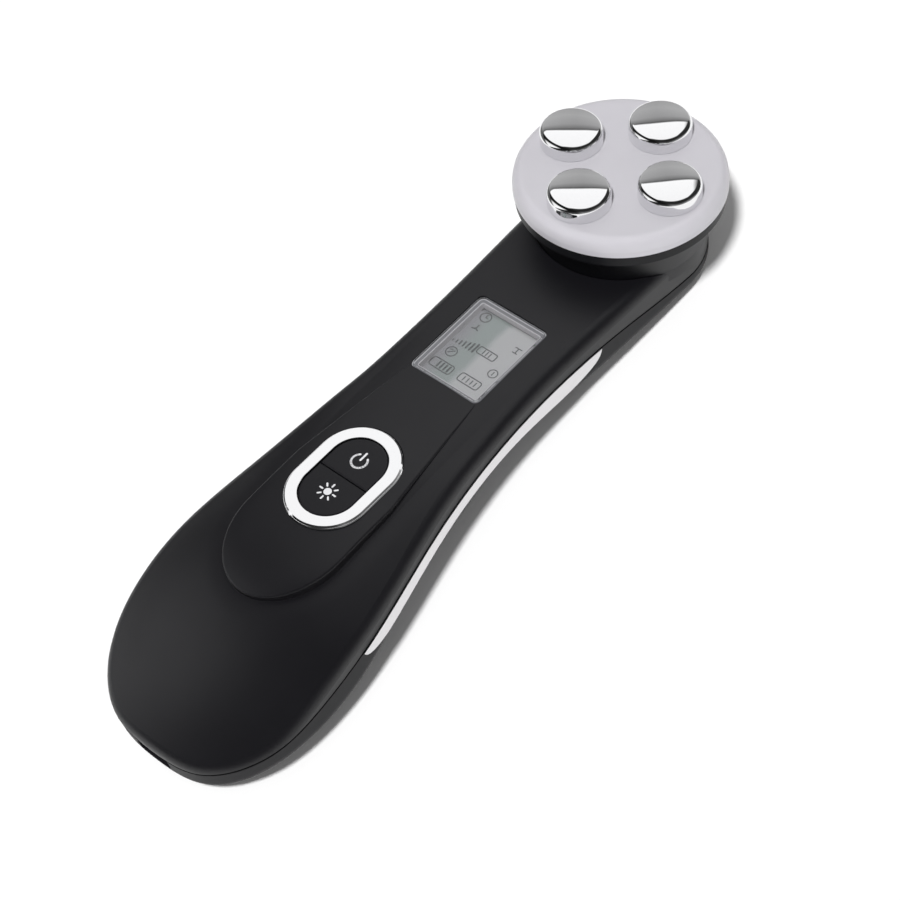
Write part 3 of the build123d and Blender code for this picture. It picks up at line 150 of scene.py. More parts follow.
class Graph:
    """A node tree, and the one way in which its nodes are made."""

    def __init__(self, tree: bpy.types.NodeTree) -> None:
        """Takes over the node tree of a material or of the world."""
        self.tree = tree

    def add(self, kind: str, settings: dict, sockets: dict, output: Union[int, str] = 0) -> Signal:
        """Makes one node: its settings first, then what goes into its sockets.

        Args:
            kind: the node's type.
            settings: its properties. "stops" holds a ramp's (place, colour) pairs.
            sockets: numbers, colours or signals by socket name or number.
            output: the output that is wanted.

        Returns:
            That output as a signal.
        """
        node = self.tree.nodes.new(kind)
        for key, value in settings.items():
            if key == "stops":
                self._set_stops(node.color_ramp, value)
            else:
                setattr(node, key, value)
        for name, value in sockets.items():
            if isinstance(value, Signal):
                self.tree.links.new(value.socket, node.inputs[name])
            else:
                node.inputs[name].default_value = value
        return Signal(self, node.outputs[output])

    @staticmethod
    def _set_stops(ramp: bpy.types.ColorRamp, stops: list[tuple[float, Color]]) -> None:
        """Puts the stops into a colour ramp.

        Args:
            ramp: the ramp.
            stops: (place, colour) pairs in rising order.
        """
        while len(ramp.elements) < len(stops):
            ramp.elements.new(0.5)
        for element, (place, color) in zip(ramp.elements, stops):
            element.position = place
            element.color = (*color, 1.0)

    def ramp(self, factor: Signal, stops: list[tuple[float, Color]]) -> Signal:
        """Colour that follows a signal through the stops."""
        return self.add("ShaderNodeValToRGB", {"stops": stops}, {0: factor})

    def blend(self, factor: Value, first: Value, second: Value) -> Signal:
        """Colour between two colours."""
        first, second = (c if isinstance(c, Signal) else (*c, 1.0) for c in (first, second))
        return self.add("ShaderNodeMix", {"data_type": "RGBA"}, {0: factor, 6: first, 7: second}, 2)

    def place(self) -> Signal:
        """Object coordinates."""
        return self.add("ShaderNodeTexCoord", {}, {}, "Object")

    def place_x(self) -> Signal:
        """Object coordinate X, whose twins are Y and Z."""
        return self.add("ShaderNodeSeparateXYZ", {}, {0: self.place()}, "X")


class Surface(Graph):
    """The shader of one finish."""

    def __init__(self, name: str) -> None:
        """Starts a material of this name on a plain Principled shader."""
        self.material = bpy.data.materials.new(name)
        self.material.use_nodes = True
        super().__init__(self.material.node_tree)
        self.shader = self.tree.nodes["Principled BSDF"]

    def feed(self, socket: str, value: Value) -> None:
        """Sets a socket of the Principled shader, or links a signal to it.

        Args:
            socket: the socket's name.
            value: a number, a colour or a signal.
        """
        if isinstance(value, Signal):
            self.tree.links.new(value.socket, self.shader.inputs[socket])
        elif isinstance(value, tuple) and len(value) == 3 and socket.endswith("Color"):
            self.shader.inputs[socket].default_value = (*value, 1.0)
        else:
            self.shader.inputs[socket].default_value = value

    def noise(self, size_mm: float, detail: float = 2.0) -> Signal:
        """Cloudy pattern, from 0 to 1, with spots about as large as size_mm."""
        sockets = {"Vector": self.place(), "Scale": 1.0 / (size_mm * MM), "Detail": detail}
        return self.add("ShaderNodeTexNoise", {}, sockets, "Fac")

    def cells(self, size_mm: float, metric: str = "EUCLIDEAN") -> Signal:
        """Distance from the middle of each cell of a foam, or of a board's squares."""
        sockets = {"Vector": self.place(), "Scale": 1.0 / (size_mm * MM)}
        return self.add("ShaderNodeTexVoronoi", {"distance": metric}, sockets, "Distance")

    def mottle(self, color: Color, share: float, mask: Signal) -> None:
        """Feeds a colour that is a little darker and a little lighter by a mask."""
        darker, lighter = (tuple(min(1.0, c * (1 + s)) for c in color) for s in (-share, share))
        self.feed("Base Color", self.blend(mask, darker, lighter))

    def emboss(self, height: Signal, depth_mm: float) -> None:
        """Feeds a bump of this depth to the normal."""
        sockets = {"Strength": 1.0, "Distance": depth_mm * MM, "Height": height}
        self.feed("Normal", self.add("ShaderNodeBump", {}, sockets, "Normal"))


# ---------------------------------------------------------------- finishes
@dataclass(frozen=True)
class Finish:
    """A finish: its name, its main colour, and the shader that shows them."""

    name: str
    color: Color

    @cache
    def material(self) -> bpy.types.Material:
        """Builds the shader once.

        Returns:
            The material.
        """
        surface = Surface(self.name)
        self._fill(surface)
        return surface.material

    def _fill(self, surface: Surface) -> None:
        """Feeds the shader, each finish in its own way."""
        raise NotImplementedError(self.name)


@dataclass(frozen=True)
class Moulded(Finish):
    """Moulded or coated plastic with a fine grain.

    One cloudy pattern makes it darker and lighter by the share uneven, and takes its roughness from the
    first to the second value.
    """

    roughness: Span
    uneven: float = 0.10
    cloud_mm: float = 11.0
    detail: float = 2.0
    grain_mm: float = 0.25
    depth_mm: float = 0.003
    specular: float = 0.5
    metal: float = 0.0
    coat: float = 0.0

    def _fill(self, surface: Surface) -> None:
        """Feeds the clouds of colour and gloss, and the relief.

        Args:
            surface: the shader.
        """
        clouds = surface.noise(self.cloud_mm, self.detail)
        low, high = self.roughness
        surface.mottle(self.color, self.uneven, clouds)
        surface.feed("Roughness", clouds * (high - low) + low)
        surface.feed("Specular IOR Level", self.specular)
        surface.feed("Metallic", self.metal)
        surface.feed("Coat Weight", self.coat)
        if self.depth_mm:
            surface.emboss(*self._relief(surface))

    def _relief(self, surface: Surface) -> tuple[Signal, float]:
        """Height pattern, from 0 to 1, and its depth in millimetres: the grain alone."""
        return surface.noise(self.grain_mm, 1.0), self.depth_mm


@dataclass(frozen=True)
class CreasedShell(Moulded):
    """Coated shell whose raised tongue runs out into the handle through a soft valley.

    The tongue's outline is straight along the handle and ends in half an ellipse. With u the share of the
    ellipse's half length behind its middle and v the share of the half width, a point lies on the outline
    where u u + v v = 1, and the valley's depth falls from 1 there to 0 at valley_mm from it, as a square.
    """

    middle_x: float = -42.4
    end_length: float = 18.0
    half_width: float = 14.6
    valley_mm: float = 4.2
    valley_depth_mm: float = 0.30
    fade: Span = (-8.0, 22.0)

    def _relief(self, surface: Surface) -> tuple[Signal, float]:
        """Height pattern and its depth: the grain and the valley.

        Args:
            surface: the shader.

        Returns:
            The pattern, and its depth in millimetres.
        """
        x = surface.place_x()
        u = (x - self.middle_x * MM).smaller(0.0) * (1 / (self.end_length * MM))
        v = x.twin("Y") * (1 / (self.half_width * MM))
        away = abs((u * u + v * v).root() - 1.0) * (self.half_width / self.valley_mm)
        share = (1.0 - away).larger(0.0)
        start, end = self.fade
        left = ((end * MM - x) * (1 / ((end - start) * MM))).larger(0.0).smaller(1.0)
        grain = surface.noise(self.grain_mm, 1.0) * (self.depth_mm / self.valley_depth_mm)
        return grain - share * share * left, self.valley_depth_mm


@dataclass(frozen=True)
class MilkyCap(Moulded):
    """Milky plastic that lets some light in."""

    light_share: float = 0.25
    light_spread: Color = (1.0, 0.95, 1.0)
    light_depth_mm: float = 1.0

    def _fill(self, surface: Surface) -> None:
        """Feeds the light inside as well.

        Args:
            surface: the shader.
        """
        super()._fill(surface)
        surface.feed("Subsurface Weight", self.light_share)
        surface.feed("Subsurface Radius", self.light_spread)
        surface.feed("Subsurface Scale", self.light_depth_mm * MM)


@dataclass(frozen=True)
class Metal(Moulded):
    """Polished or plated metal, whose clouds are faint polishing marks."""

    uneven: float = 0.02
    cloud_mm: float = 0.8
    detail: float = 3.0
    depth_mm: float = 0.0
    metal: float = 1.0


@dataclass(frozen=True)
class Print(Moulded):
    """Printed mark, whose clouds are fine specks."""

    uneven: float = 0.05
    cloud_mm: float = 0.3
    depth_mm: float = 0.0


@dataclass(frozen=True)
class ClearPlate(Finish):
    """Clear acrylic."""

    refraction: float

    def _fill(self, surface: Surface) -> None:
        """Feeds the clear plastic.

        Args:
            surface: the shader.
        """
        surface.feed("Base Color", self.color)
        surface.feed("Transmission Weight", 1.0)
        surface.feed("IOR", self.refraction)
        surface.feed("Roughness", 0.0)


@dataclass(frozen=True)
class DisplayGlass(Finish):
    """Grey-green display glass, with a darker band along one side of its middle."""

    deep: Color
    edge: Color
    half_width: float
    roughness: float = 0.4
    ripple_mm: float = 6.0
    ripple: float = 0.06

    def _fill(self, surface: Surface) -> None:
        """Feeds the band, by the place across the glass.

        Args:
            surface: the shader.
        """
        y = surface.place_x().twin("Y")
        ripple = surface.noise(self.ripple_mm) * self.ripple
        across = y * (0.5 / (self.half_width * MM)) + 0.5 + ripple
        pale, deep = self.color, self.deep
        stops = [(0.0, pale), (0.50, pale), (0.60, deep), (0.76, deep), (0.94, self.edge)]
        surface.feed("Base Color", surface.ramp(across, stops))
        surface.feed("Roughness", self.roughness)


@dataclass(frozen=True)
class Foam(Finish):
    """Closed-cell foam."""

    roughness: float = 0.95
    cell_mm: float = 0.5
    depth_mm: float = 0.05
    uneven: float = 0.3

    def _fill(self, surface: Surface) -> None:
        """Feeds the cells.

        Args:
            surface: the shader.
        """
        cells = surface.cells(self.cell_mm)
        surface.mottle(self.color, self.uneven, cells)
        surface.feed("Roughness", self.roughness)
        surface.emboss(cells, self.depth_mm)


@dataclass(frozen=True)
class Board(Finish):
    """Lacquered circuit board with faint tracks under the lacquer."""

    track: Color
    track_mm: float = 1.6
    roughness: float = 0.28
    lacquer: float = 0.4

    def _fill(self, surface: Surface) -> None:
        """Feeds the tracks and the lacquer.

        Args:
            surface: the shader.
        """
        ground, line = (0, 0, 0), (1, 1, 1)
        stops = [(0.0, ground), (0.52, ground), (0.6, line)]
        mask = surface.ramp(surface.cells(self.track_mm, "MANHATTAN"), stops)
        surface.feed("Base Color", surface.blend(mask, self.color, self.track))
        surface.feed("Roughness", surface.noise(3.0) * 0.1 + self.roughness)
        surface.feed("Coat Weight", self.lacquer)


CREASED_BLACK = CreasedShell(
    "creased_black", (0.0070, 0.0068, 0.0085), (0.414, 0.506), depth_mm=0.006, specular=0.45,
)
BELLY_BLACK = Moulded(
    "belly_black", (0.0070, 0.0068, 0.0085), (0.468, 0.572), depth_mm=0.006, specular=0.22,
)
TRIM_BLACK = Moulded("black_trim", (0.0065, 0.0065, 0.0080), (0.414, 0.506), grain_mm=0.4, specular=0.22)
KEY_BLACK = Moulded("key_black", (0.0062, 0.0060, 0.0078), (0.414, 0.506), specular=0.38)
# Near-black matte inlay along the parting line: painted shade, standing for the shade in the slit between
# the two black halves.
PARTING_SHADE = Moulded("painted_parting_shade", (0.0010, 0.0010, 0.0012), (0.81, 0.99), specular=0.05)
DARK_MOULDING = Moulded("moulded_black", (0.03, 0.03, 0.03), (0.405, 0.495), grain_mm=0.6)
PALE_MOULDING = Moulded("moulded_white", (0.75, 0.74, 0.70), (0.399, 0.441), 0.05, grain_mm=0.6)
SLEEVE = Moulded("display_sleeve", (0.42, 0.40, 0.43), (0.285, 0.315), 0.05, grain_mm=0.4)
LIGHT_GUIDE = Moulded("light_guide", (0.80, 0.81, 0.78), (0.3395, 0.3605), 0.03, grain_mm=0.3)
CELL_WRAP = Moulded("cell_wrap", (0.06, 0.22, 0.45), (0.225, 0.275), grain_mm=4.0, depth_mm=0.06, coat=0.6)
LAMP_RESIN = Moulded("lamp", (0.80, 0.72, 0.36), (0.282, 0.318), 0.06, grain_mm=0.2, coat=0.5)
MILKY = MilkyCap(
    "milky_cap", (0.595, 0.582, 0.62), (0.30, 0.38), 0.03, cloud_mm=14.0, grain_mm=0.5, depth_mm=0.002,
)
POLISHED = Metal("polished", (0.84, 0.84, 0.85), (0.035, 0.065))
SATIN_METAL = Metal("satin_metal", (0.72, 0.71, 0.72), (0.30, 0.36), cloud_mm=0.5)
STEEL = Metal("steel", (0.55, 0.55, 0.56), (0.22, 0.34), cloud_mm=0.3)
BORDER_GREY = Print("border_grey", (0.15, 0.15, 0.165), (0.4, 0.5))
BORDER_PALE = Print("border_pale", (0.42, 0.42, 0.44), (0.4, 0.5))
SEGMENT_INK = Print("segment_ink", (0.030, 0.032, 0.036), (0.5, 0.6))
KEY_INK = Print("key_ink", (0.78, 0.78, 0.80), (0.5, 0.6))
CLEAR = ClearPlate("clear_window", (0.95, 0.97, 0.96), 1.46)
DISPLAY = DisplayGlass(
    "display_glass", (0.325, 0.32, 0.335), (0.185, 0.21, 0.21), (0.185, 0.182, 0.20), half_width=9.3,
)
FOAM = Foam("foam", (0.05, 0.05, 0.05))
GREEN_BOARD = Board("board_green", (0.02, 0.16, 0.07), (0.03, 0.24, 0.10))
WHITE_BOARD = Board("board_white", (0.75, 0.75, 0.73), (0.66, 0.66, 0.62))


def dress(piece: bpy.types.Object, finish: Finish) -> None:
    """Gives every material slot of a piece one finish.

    Args:
        piece: a new piece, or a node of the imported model.
        finish: what it gets.
    """
    if not piece.data.materials:
        piece.data.materials.append(finish.material())
    for slot in piece.material_slots:
        slot.material = finish.material()


# ---------------------------------------------------------------- surfaces
@dataclass(frozen=True)
class Seat:
    """A tilted frame on the handle: X along it, Z out of it, in millimetres and degrees."""

    along: float
    height: float
    tilt: float

    def place(self, points: np.ndarray) -> np.ndarray:
        """Carries points into the row frame: turned about Y by the tilt, moved to the seat, in metres.

        Args:
            points: points of this frame, in millimetres, in the last axis.

        Returns:
            The same points in the row frame, in metres.
        """
        c, s = cos(radians(self.tilt)), sin(radians(self.tilt))
        turn = np.array([[c, 0.0, s], [0.0, 1.0, 0.0], [-s, 0.0, c]])
        return (points @ turn.T + np.array([self.along, 0.0, self.height])) * MM


LEVEL = Seat(along=0.0, height=0.0, tilt=0.0)
DECK = Seat(along=-26.005, height=28.0, tilt=6.45)
HEAD = Seat(along=71.395, height=26.5, tilt=11.3)


def in_scene(name: str, data: bpy.types.ID) -> bpy.types.Object:
    """New object in the scene for a mesh, a lamp or a camera."""
    thing = bpy.data.objects.new(name, data)
    bpy.context.scene.collection.objects.link(thing)
    return thing


def unit(vectors: np.ndarray) -> np.ndarray:
    """Each vector of the last axis over its own length."""
    return vectors / np.linalg.norm(vectors, axis=-1, keepdims=True)


def quads(rows: int, columns: int, wrap_rows: bool = False) -> np.ndarray:
    """Vertex numbers of the quads of a grid whose columns close on themselves.

    Quad (i, j) joins vertices (i, j), (i, j + 1), (i + 1, j + 1) and (i + 1, j), with j + 1 taken round.

    Args:
        rows: number of rings.
        columns: vertices in each ring.
        wrap_rows: whether the last ring joins the first.

    Returns:
        Four vertex numbers for each quad.
    """
    i, j = np.meshgrid(np.arange(rows if wrap_rows else rows - 1), np.arange(columns), indexing="ij")
    next_i, next_j = (i + 1) % rows, (j + 1) % columns
    around = [i * columns + j, i * columns + next_j, next_i * columns + next_j, next_i * columns + j]
    return np.stack(around, axis=-1).reshape(-1, 4)


def fan(first: int, columns: int, pole: int) -> np.ndarray:
    """Vertex numbers of the triangles from a ring to its pole: ring j, ring j + 1, pole."""
    j = np.arange(columns)
    return np.stack([first + j, first + (j + 1) % columns, np.full(columns, pole)], axis=-1)


@dataclass
class Skin:
    """Vertices and faces of one mesh, gathered from several closed surfaces."""

    points: list[np.ndarray] = field(default_factory=list)
    faces: list[list[int]] = field(default_factory=list)

    def _start(self) -> int:
        """Number of vertices so far."""
        return sum(len(p) for p in self.points)

    def tube(self, rings: np.ndarray) -> None:
        """Adds a closed surface through rings of points, with a fan of triangles over each end.

        The fan's middle is the mean of the end ring.

        Args:
            rings: (rings, points in each, 3), turning right-handed about the direction of travel.
        """
        base, (rows, columns, _) = self._start(), rings.shape
        self.points += [rings.reshape(-1, 3), np.stack([rings[0].mean(axis=0), rings[-1].mean(axis=0)])]
        last, pole = base + (rows - 1) * columns, base + rows * columns
        self.faces += (quads(rows, columns) + base).tolist()
        self.faces += fan(base, columns, pole)[:, ::-1].tolist()
        self.faces += fan(last, columns, pole + 1).tolist()

    def loop(self, rings: np.ndarray) -> None:
        """Adds a closed surface like a tyre, through rings that close on themselves both ways.

        Args:
            rings: (rings, points in each, 3), turning left-handed about the direction of travel.
        """
        base, (rows, columns, _) = self._start(), rings.shape
        self.points.append(rings[::-1].reshape(-1, 3))
        self.faces += (quads(rows, columns, True) + base).tolist()

    def rim(self, profile: np.ndarray, path: np.ndarray, normals: np.ndarray) -> None:
        """Adds a closed profile carried round a flat path, which turns left.

        Point (d, z) of the profile becomes the path's point + d times the path's normal, at height z.

        Args:
            profile: (k, 2) distances from the path and heights, turning left.
            path: (n, 2) points of the closed path.
            normals: (n, 2) directions away from the path.
        """
        flat = path[:, None, :] + profile[None, :, :1] * normals[:, None, :]
        height = np.broadcast_to(profile[None, :, 1:], (len(path), len(profile), 1))
        self.loop(np.concatenate([flat, height], axis=-1))

    def piece(self, name: str, seat: Seat, sharp: float) -> bpy.types.Object:
        """Makes the object, with smooth faces and creases where two faces meet at a sharp angle.

        Args:
            name: the piece's name.
            seat: the frame that the points are in.
            sharp: angle, in degrees, past which an edge is a crease.

        Returns:
            The object, linked to the scene.
        """
        mesh = bpy.data.meshes.new(name)
        mesh.from_pydata(seat.place(np.concatenate(self.points)).tolist(), [], self.faces)
        mesh.validate()
        mesh.set_sharp_from_angle(angle=radians(sharp))
        return in_scene(name, mesh)


def section(inner: float, outer: float, low: float, high: float) -> np.ndarray:
    """Rectangle between two distances and two heights, turning left."""
    return np.array([(inner, low), (outer, low), (outer, high), (inner, high)])


def circle(
    radius: float, count: int, start: float = 0.0, sweep: float = 2 * pi, closed: bool = True,
) -> np.ndarray:
    """Points (radius cos a, radius sin a), with the angle a in equal steps.

    Args:
        radius: the circle's radius.
        count: number of points.
        start: first angle, in radians.
        sweep: how far round it goes.
        closed: leaves out the last point, which would repeat the first.

    Returns:
        (count, 2) points.
    """
    a = start + np.linspace(0.0, sweep, count, endpoint=not closed)
    return np.stack([radius * np.cos(a), radius * np.sin(a)], axis=-1)


def turned(profile: np.ndarray, count: int) -> np.ndarray:
    """Rings of a turned form: each (radius r, height z) of the profile becomes (r cos a, r sin a, z).

    Args:
        profile: (rings, 2) radii and heights, from the bottom of the axis round the outside to its top.
        count: points in each ring.

    Returns:
        (rings, count, 3) points.
    """
    flat = profile[:, None, :1] * circle(1.0, count)[None, :, :]
    height = np.broadcast_to(profile[:, None, 1:], (len(profile), count, 1))
    return np.concatenate([flat, height], axis=-1)


def raised(outline: np.ndarray, low: float, height: float) -> np.ndarray:
    """Rings of a low plate over an outline: upright sides, then a bevel of a third of the height.

    The top is the outline drawn towards its own middle, by the bevel over its mean radius.

    Args:
        outline: (n, 2) points, turning left, seen whole from their middle.
        low: where the underside is.
        height: from the underside to the top.

    Returns:
        (3, n, 3) points.
    """
    bevel, middle = height / 3, outline.mean(axis=0)
    reach = np.linalg.norm(outline - middle, axis=1).mean()
    inner = middle + (outline - middle) * (1 - bevel / reach)
    rings = (outline, low), (outline, low + height - bevel), (inner, low + height)
    return np.stack([np.column_stack([shape, np.full(len(shape), z)]) for shape, z in rings])


def stadium_path(length: float, width: float, count: int) -> tuple[np.ndarray, np.ndarray]:
    """Outline of a stadium, its long axis along X, with the directions away from it.

    Each half circle has count points about its own middle, and the straights join them.

    Args:
        length: overall length.
        width: overall width.
        count: points in each half circle.

    Returns:
        Points and outward directions, turning left.
    """
    normals = np.concatenate([circle(1.0, count, side, pi, closed=False) for side in (-pi / 2, pi / 2)])
    middles = np.repeat([(length - width, 0.0), (width - length, 0.0)], count, axis=0) / 2
    return middles + normals * (width / 2), normals


def rounded_box(length: float, width: float, corner: float, count: int) -> tuple[np.ndarray, np.ndarray]:
    """Outline of a rectangle with round corners, length along X, with the directions away from it.

    Each corner is a quarter circle of count points about its own middle.

    Args:
        length: size along X.
        width: size along Y.
        corner: radius of the corners.
        count: points in each corner.

    Returns:
        Points and outward directions, turning left.
    """
    normals = np.concatenate([circle(1.0, count, k * pi / 2, pi / 2, closed=False) for k in range(4)])
    signs = np.repeat([(1, 1), (-1, 1), (-1, -1), (1, -1)], count, axis=0)
    middles = signs * np.array([length / 2 - corner, width / 2 - corner])
    return middles + normals * corner, normals


def capsule(start: Point, end: Point, width: float, count: int = 7) -> np.ndarray:
    """Outline of a round-ended stroke between two points.

    Args:
        start: the stroke's first point.
        end: its last point.
        width: the stroke's width.
        count: points in each round end.

    Returns:
        (2 count, 2) points, turning left.
    """
    a, b = np.array(start, float), np.array(end, float)
    direction = np.arctan2(b[1] - a[1], b[0] - a[0])
    far = circle(width / 2, count, direction - pi / 2, pi, closed=False) + b
    near = circle(width / 2, count, direction + pi / 2, pi, closed=False) + a
    return np.concatenate([far, near])


# ---------------------------------------------------------------- sub-assemblies
class Way(Enum):
    """Which way a new piece and the node that it stands for are shown."""

    REPLACES = "stands for the node"
    ADDED = "lies on the node"


def settle(piece: bpy.types.Object, finish: Finish, body: str, slot: str, way: Way, *nodes: str) -> None:
    """Dresses a new piece and hands it to the frame.

    Args:
        piece: the finished piece.
        finish: its finish.
        body: the body that it rides on.
        slot: a material slot's name; not used.
        way: whether it replaces nodes or is added to them.
        nodes: the nodes that it stands for.
    """
    dress(piece, finish)
    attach(piece, body)
    if way is Way.REPLACES:
        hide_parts(*nodes)
    LOG.info("%s: %s, %s", piece.name, finish.name, way.value)


@dataclass
class SubAssembly:
    """A group of pieces: which of its nodes get which finish, and the new pieces that it adds."""

    finishes: tuple[tuple[Finish, tuple[str, ...]], ...] = ()

    def build(self, nodes: Nodes) -> None:
        """Dresses the group's nodes, then adds its new pieces.

        Args:
            nodes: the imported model's nodes.
        """
        for finish, names in self.finishes:
            for name in names:
                dress(nodes[name], finish)
            LOG.info("%s: %s", ", ".join(names), finish.name)
        self._add_pieces(nodes)

    def _add_pieces(self, nodes: Nodes) -> None:
        """Adds the group's new pieces. A group that is dressed only has none."""


@dataclass
class Casing(SubAssembly):
    """The two soft-touch housing halves, and what holds them and the strips."""

    finishes: tuple = (
        (CREASED_BLACK, ("top_shell",)),
        (BELLY_BLACK, ("bottom_shell",)),
        (STEEL, ("shell_screws", "strip_clips")),
    )


@dataclass
class PartingLine(SubAssembly):
    """The fine dark line all round the handle, where its two halves meet: a near-black inlay that paints
    the shade of the slit between them.
    """

    width: float = 0.34
    proud: float = 0.06
    sunk: float = 0.12
    neck_x: float = 66.4
    tail_x: float = -63.6
    far: float = 60.0
    step: float = 1.0
    turn_points: int = 60
    halvings: int = 14
    lip: float = 0.45
    low: float = 4.5
    high: float = 22.0

    def _add_pieces(self, nodes: Nodes) -> None:
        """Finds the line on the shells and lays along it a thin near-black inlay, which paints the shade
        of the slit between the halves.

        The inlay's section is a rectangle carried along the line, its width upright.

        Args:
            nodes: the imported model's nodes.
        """
        shells = {name: BVHTree.FromObject(nodes[name], bpy.context.evaluated_depsgraph_get())
                  for name in ("top_shell", "bottom_shell")}
        points = np.array([self._meet(shells, place, normal) for place, normal in zip(*self._route())])
        along = np.roll(points, -1, axis=0) - np.roll(points, 1, axis=0)
        outward = unit(np.cross(along, (0.0, 0.0, 1.0)))
        upward = unit(np.cross(outward, along))
        profile = section(-self.sunk, self.proud, -self.width / 2, self.width / 2)[None]
        out, up = profile[..., :1] * outward[:, None], profile[..., 1:] * upward[:, None]
        skin = Skin()
        skin.loop(points[:, None] + out + up)
        line = skin.piece("parting_line", LEVEL, sharp=50.0)
        # The inlay's near-black finish is painted shade of the slit where the halves meet.
        settle(line, PARTING_SHADE, "root", "black_trim", Way.ADDED)

    def _route(self) -> tuple[np.ndarray, np.ndarray]:
        """Plan of a stadium from the tail's middle to the neck's, far outside, turning left.

        Returns:
            Places and outward directions, both level.
        """
        length, turn = self.neck_x - self.tail_x, self.turn_points
        path, normals = stadium_path(length + 2 * self.far, 2 * self.far, turn)
        head, tail = path[:turn], path[turn:]
        share = np.linspace(0.0, 1.0, int(length / self.step))[1:-1, None]
        left_side = head[-1] * (1 - share) + tail[0] * share
        right_side = tail[-1] * (1 - share) + head[0] * share
        left = np.tile([0.0, 1.0], (len(share), 1))
        places = np.concatenate([head, left_side, tail, right_side])
        places += np.array([(self.neck_x + self.tail_x) / 2, 0.0])
        turns = np.concatenate([normals[:turn], left, normals[turn:], -left])
        level = np.zeros((len(places), 1))
        return np.hstack([places, level]), np.hstack([turns, level])

    def _meet(self, shells: dict, place: np.ndarray, normal: np.ndarray) -> np.ndarray:
        """Point where a level ray from outside stops meeting the lower half and meets the upper one.

        The height is halved in on: it goes up while the nearer hit is on the lower half, and else down.
        Where the upper half stands out farther just above the slit between the two, the point lies as far
        out as that.

        Args:
            shells: search trees of the two halves.
            place: where the ray starts, in millimetres.
            normal: direction away from the handle.

        Returns:
            The point on the outside, in millimetres.
        """
        low, high = self.low, self.high
        inward = (-normal).tolist()
        for _ in range(self.halvings):
            height = (low + high) / 2
            start = ((place + np.array([0.0, 0.0, height])) * MM).tolist()
            hits = {name: tree.ray_cast(start, inward) for name, tree in shells.items()}
            reach = {name: hit[3] if hit[0] is not None else self.far for name, hit in hits.items()}
            nearest = min(reach, key=reach.get)
            if nearest == "bottom_shell":
                low = height
            else:
                high = height
        start = ((place + np.array([0.0, 0.0, low + self.lip])) * MM).tolist()
        above = np.array(shells["top_shell"].ray_cast(start, inward)[0]) / MM
        met = np.array(hits[nearest][0]) / MM
        return max(met, above - np.array([0.0, 0.0, self.lip]), key=lambda point: float(point @ normal))


@dataclass
class SideStrips(SubAssembly):
    """The two polished contact strips."""

    finishes: tuple = ((SATIN_METAL, ("left_contact_strip", "right_contact_strip")),)


# Signs of the display. Points are (up the display, across it to the left), and lines are shares of the
# display's own line. Rings: middle, radius, line. Frames: middle, size across, size up. Strokes: start,
# end, line. Bars: low end, high end, line, places across.
RINGS = (((9.3, 6.4), 1.35, 1.0), ((-2.9, 6.2), 1.35, 1.0), ((-2.3, -5.8), 1.15, 0.9))
FRAMES = (((1.3, -0.9), 5.4, 2.3), ((-7.3, 5.3), 6.4, 2.9), ((-7.1, -2.9), 6.2, 2.7))
STROKES = (
    ((9.3, 6.4), (10.2, 6.4), 1.0), ((9.3, 6.4), (9.3, 5.8), 0.9),
    ((5.5, 6.2), (5.2, 7.1), 1.2), ((5.5, 6.2), (5.2, 5.4), 1.2), ((5.5, 6.2), (6.6, 6.1), 1.2),
    ((-3.5, 6.8), (-2.3, 5.6), 1.0), ((-2.5, 6.9), (-2.2, 6.3), 1.0),
    ((-7.9, 8.75), (-6.7, 8.75), 1.4), ((-2.8, -5.8), (-1.8, -5.8), 0.9),
    ((6.7, -5.0), (6.7, -6.8), 1.0), ((6.6, -5.9), (5.2, -5.9), 1.0), ((5.2, -5.2), (5.2, -6.4), 1.0),
)
BARS = (
    (0.7, 1.9, 1.0, (-1.8, -0.9, 0.0)),
    (-8.1, -6.5, 1.7, (3.2, 4.2, 5.2, 6.2)),
    (-7.7, -6.5, 1.0, (-4.6, -3.5, -2.4, -1.3)),
)


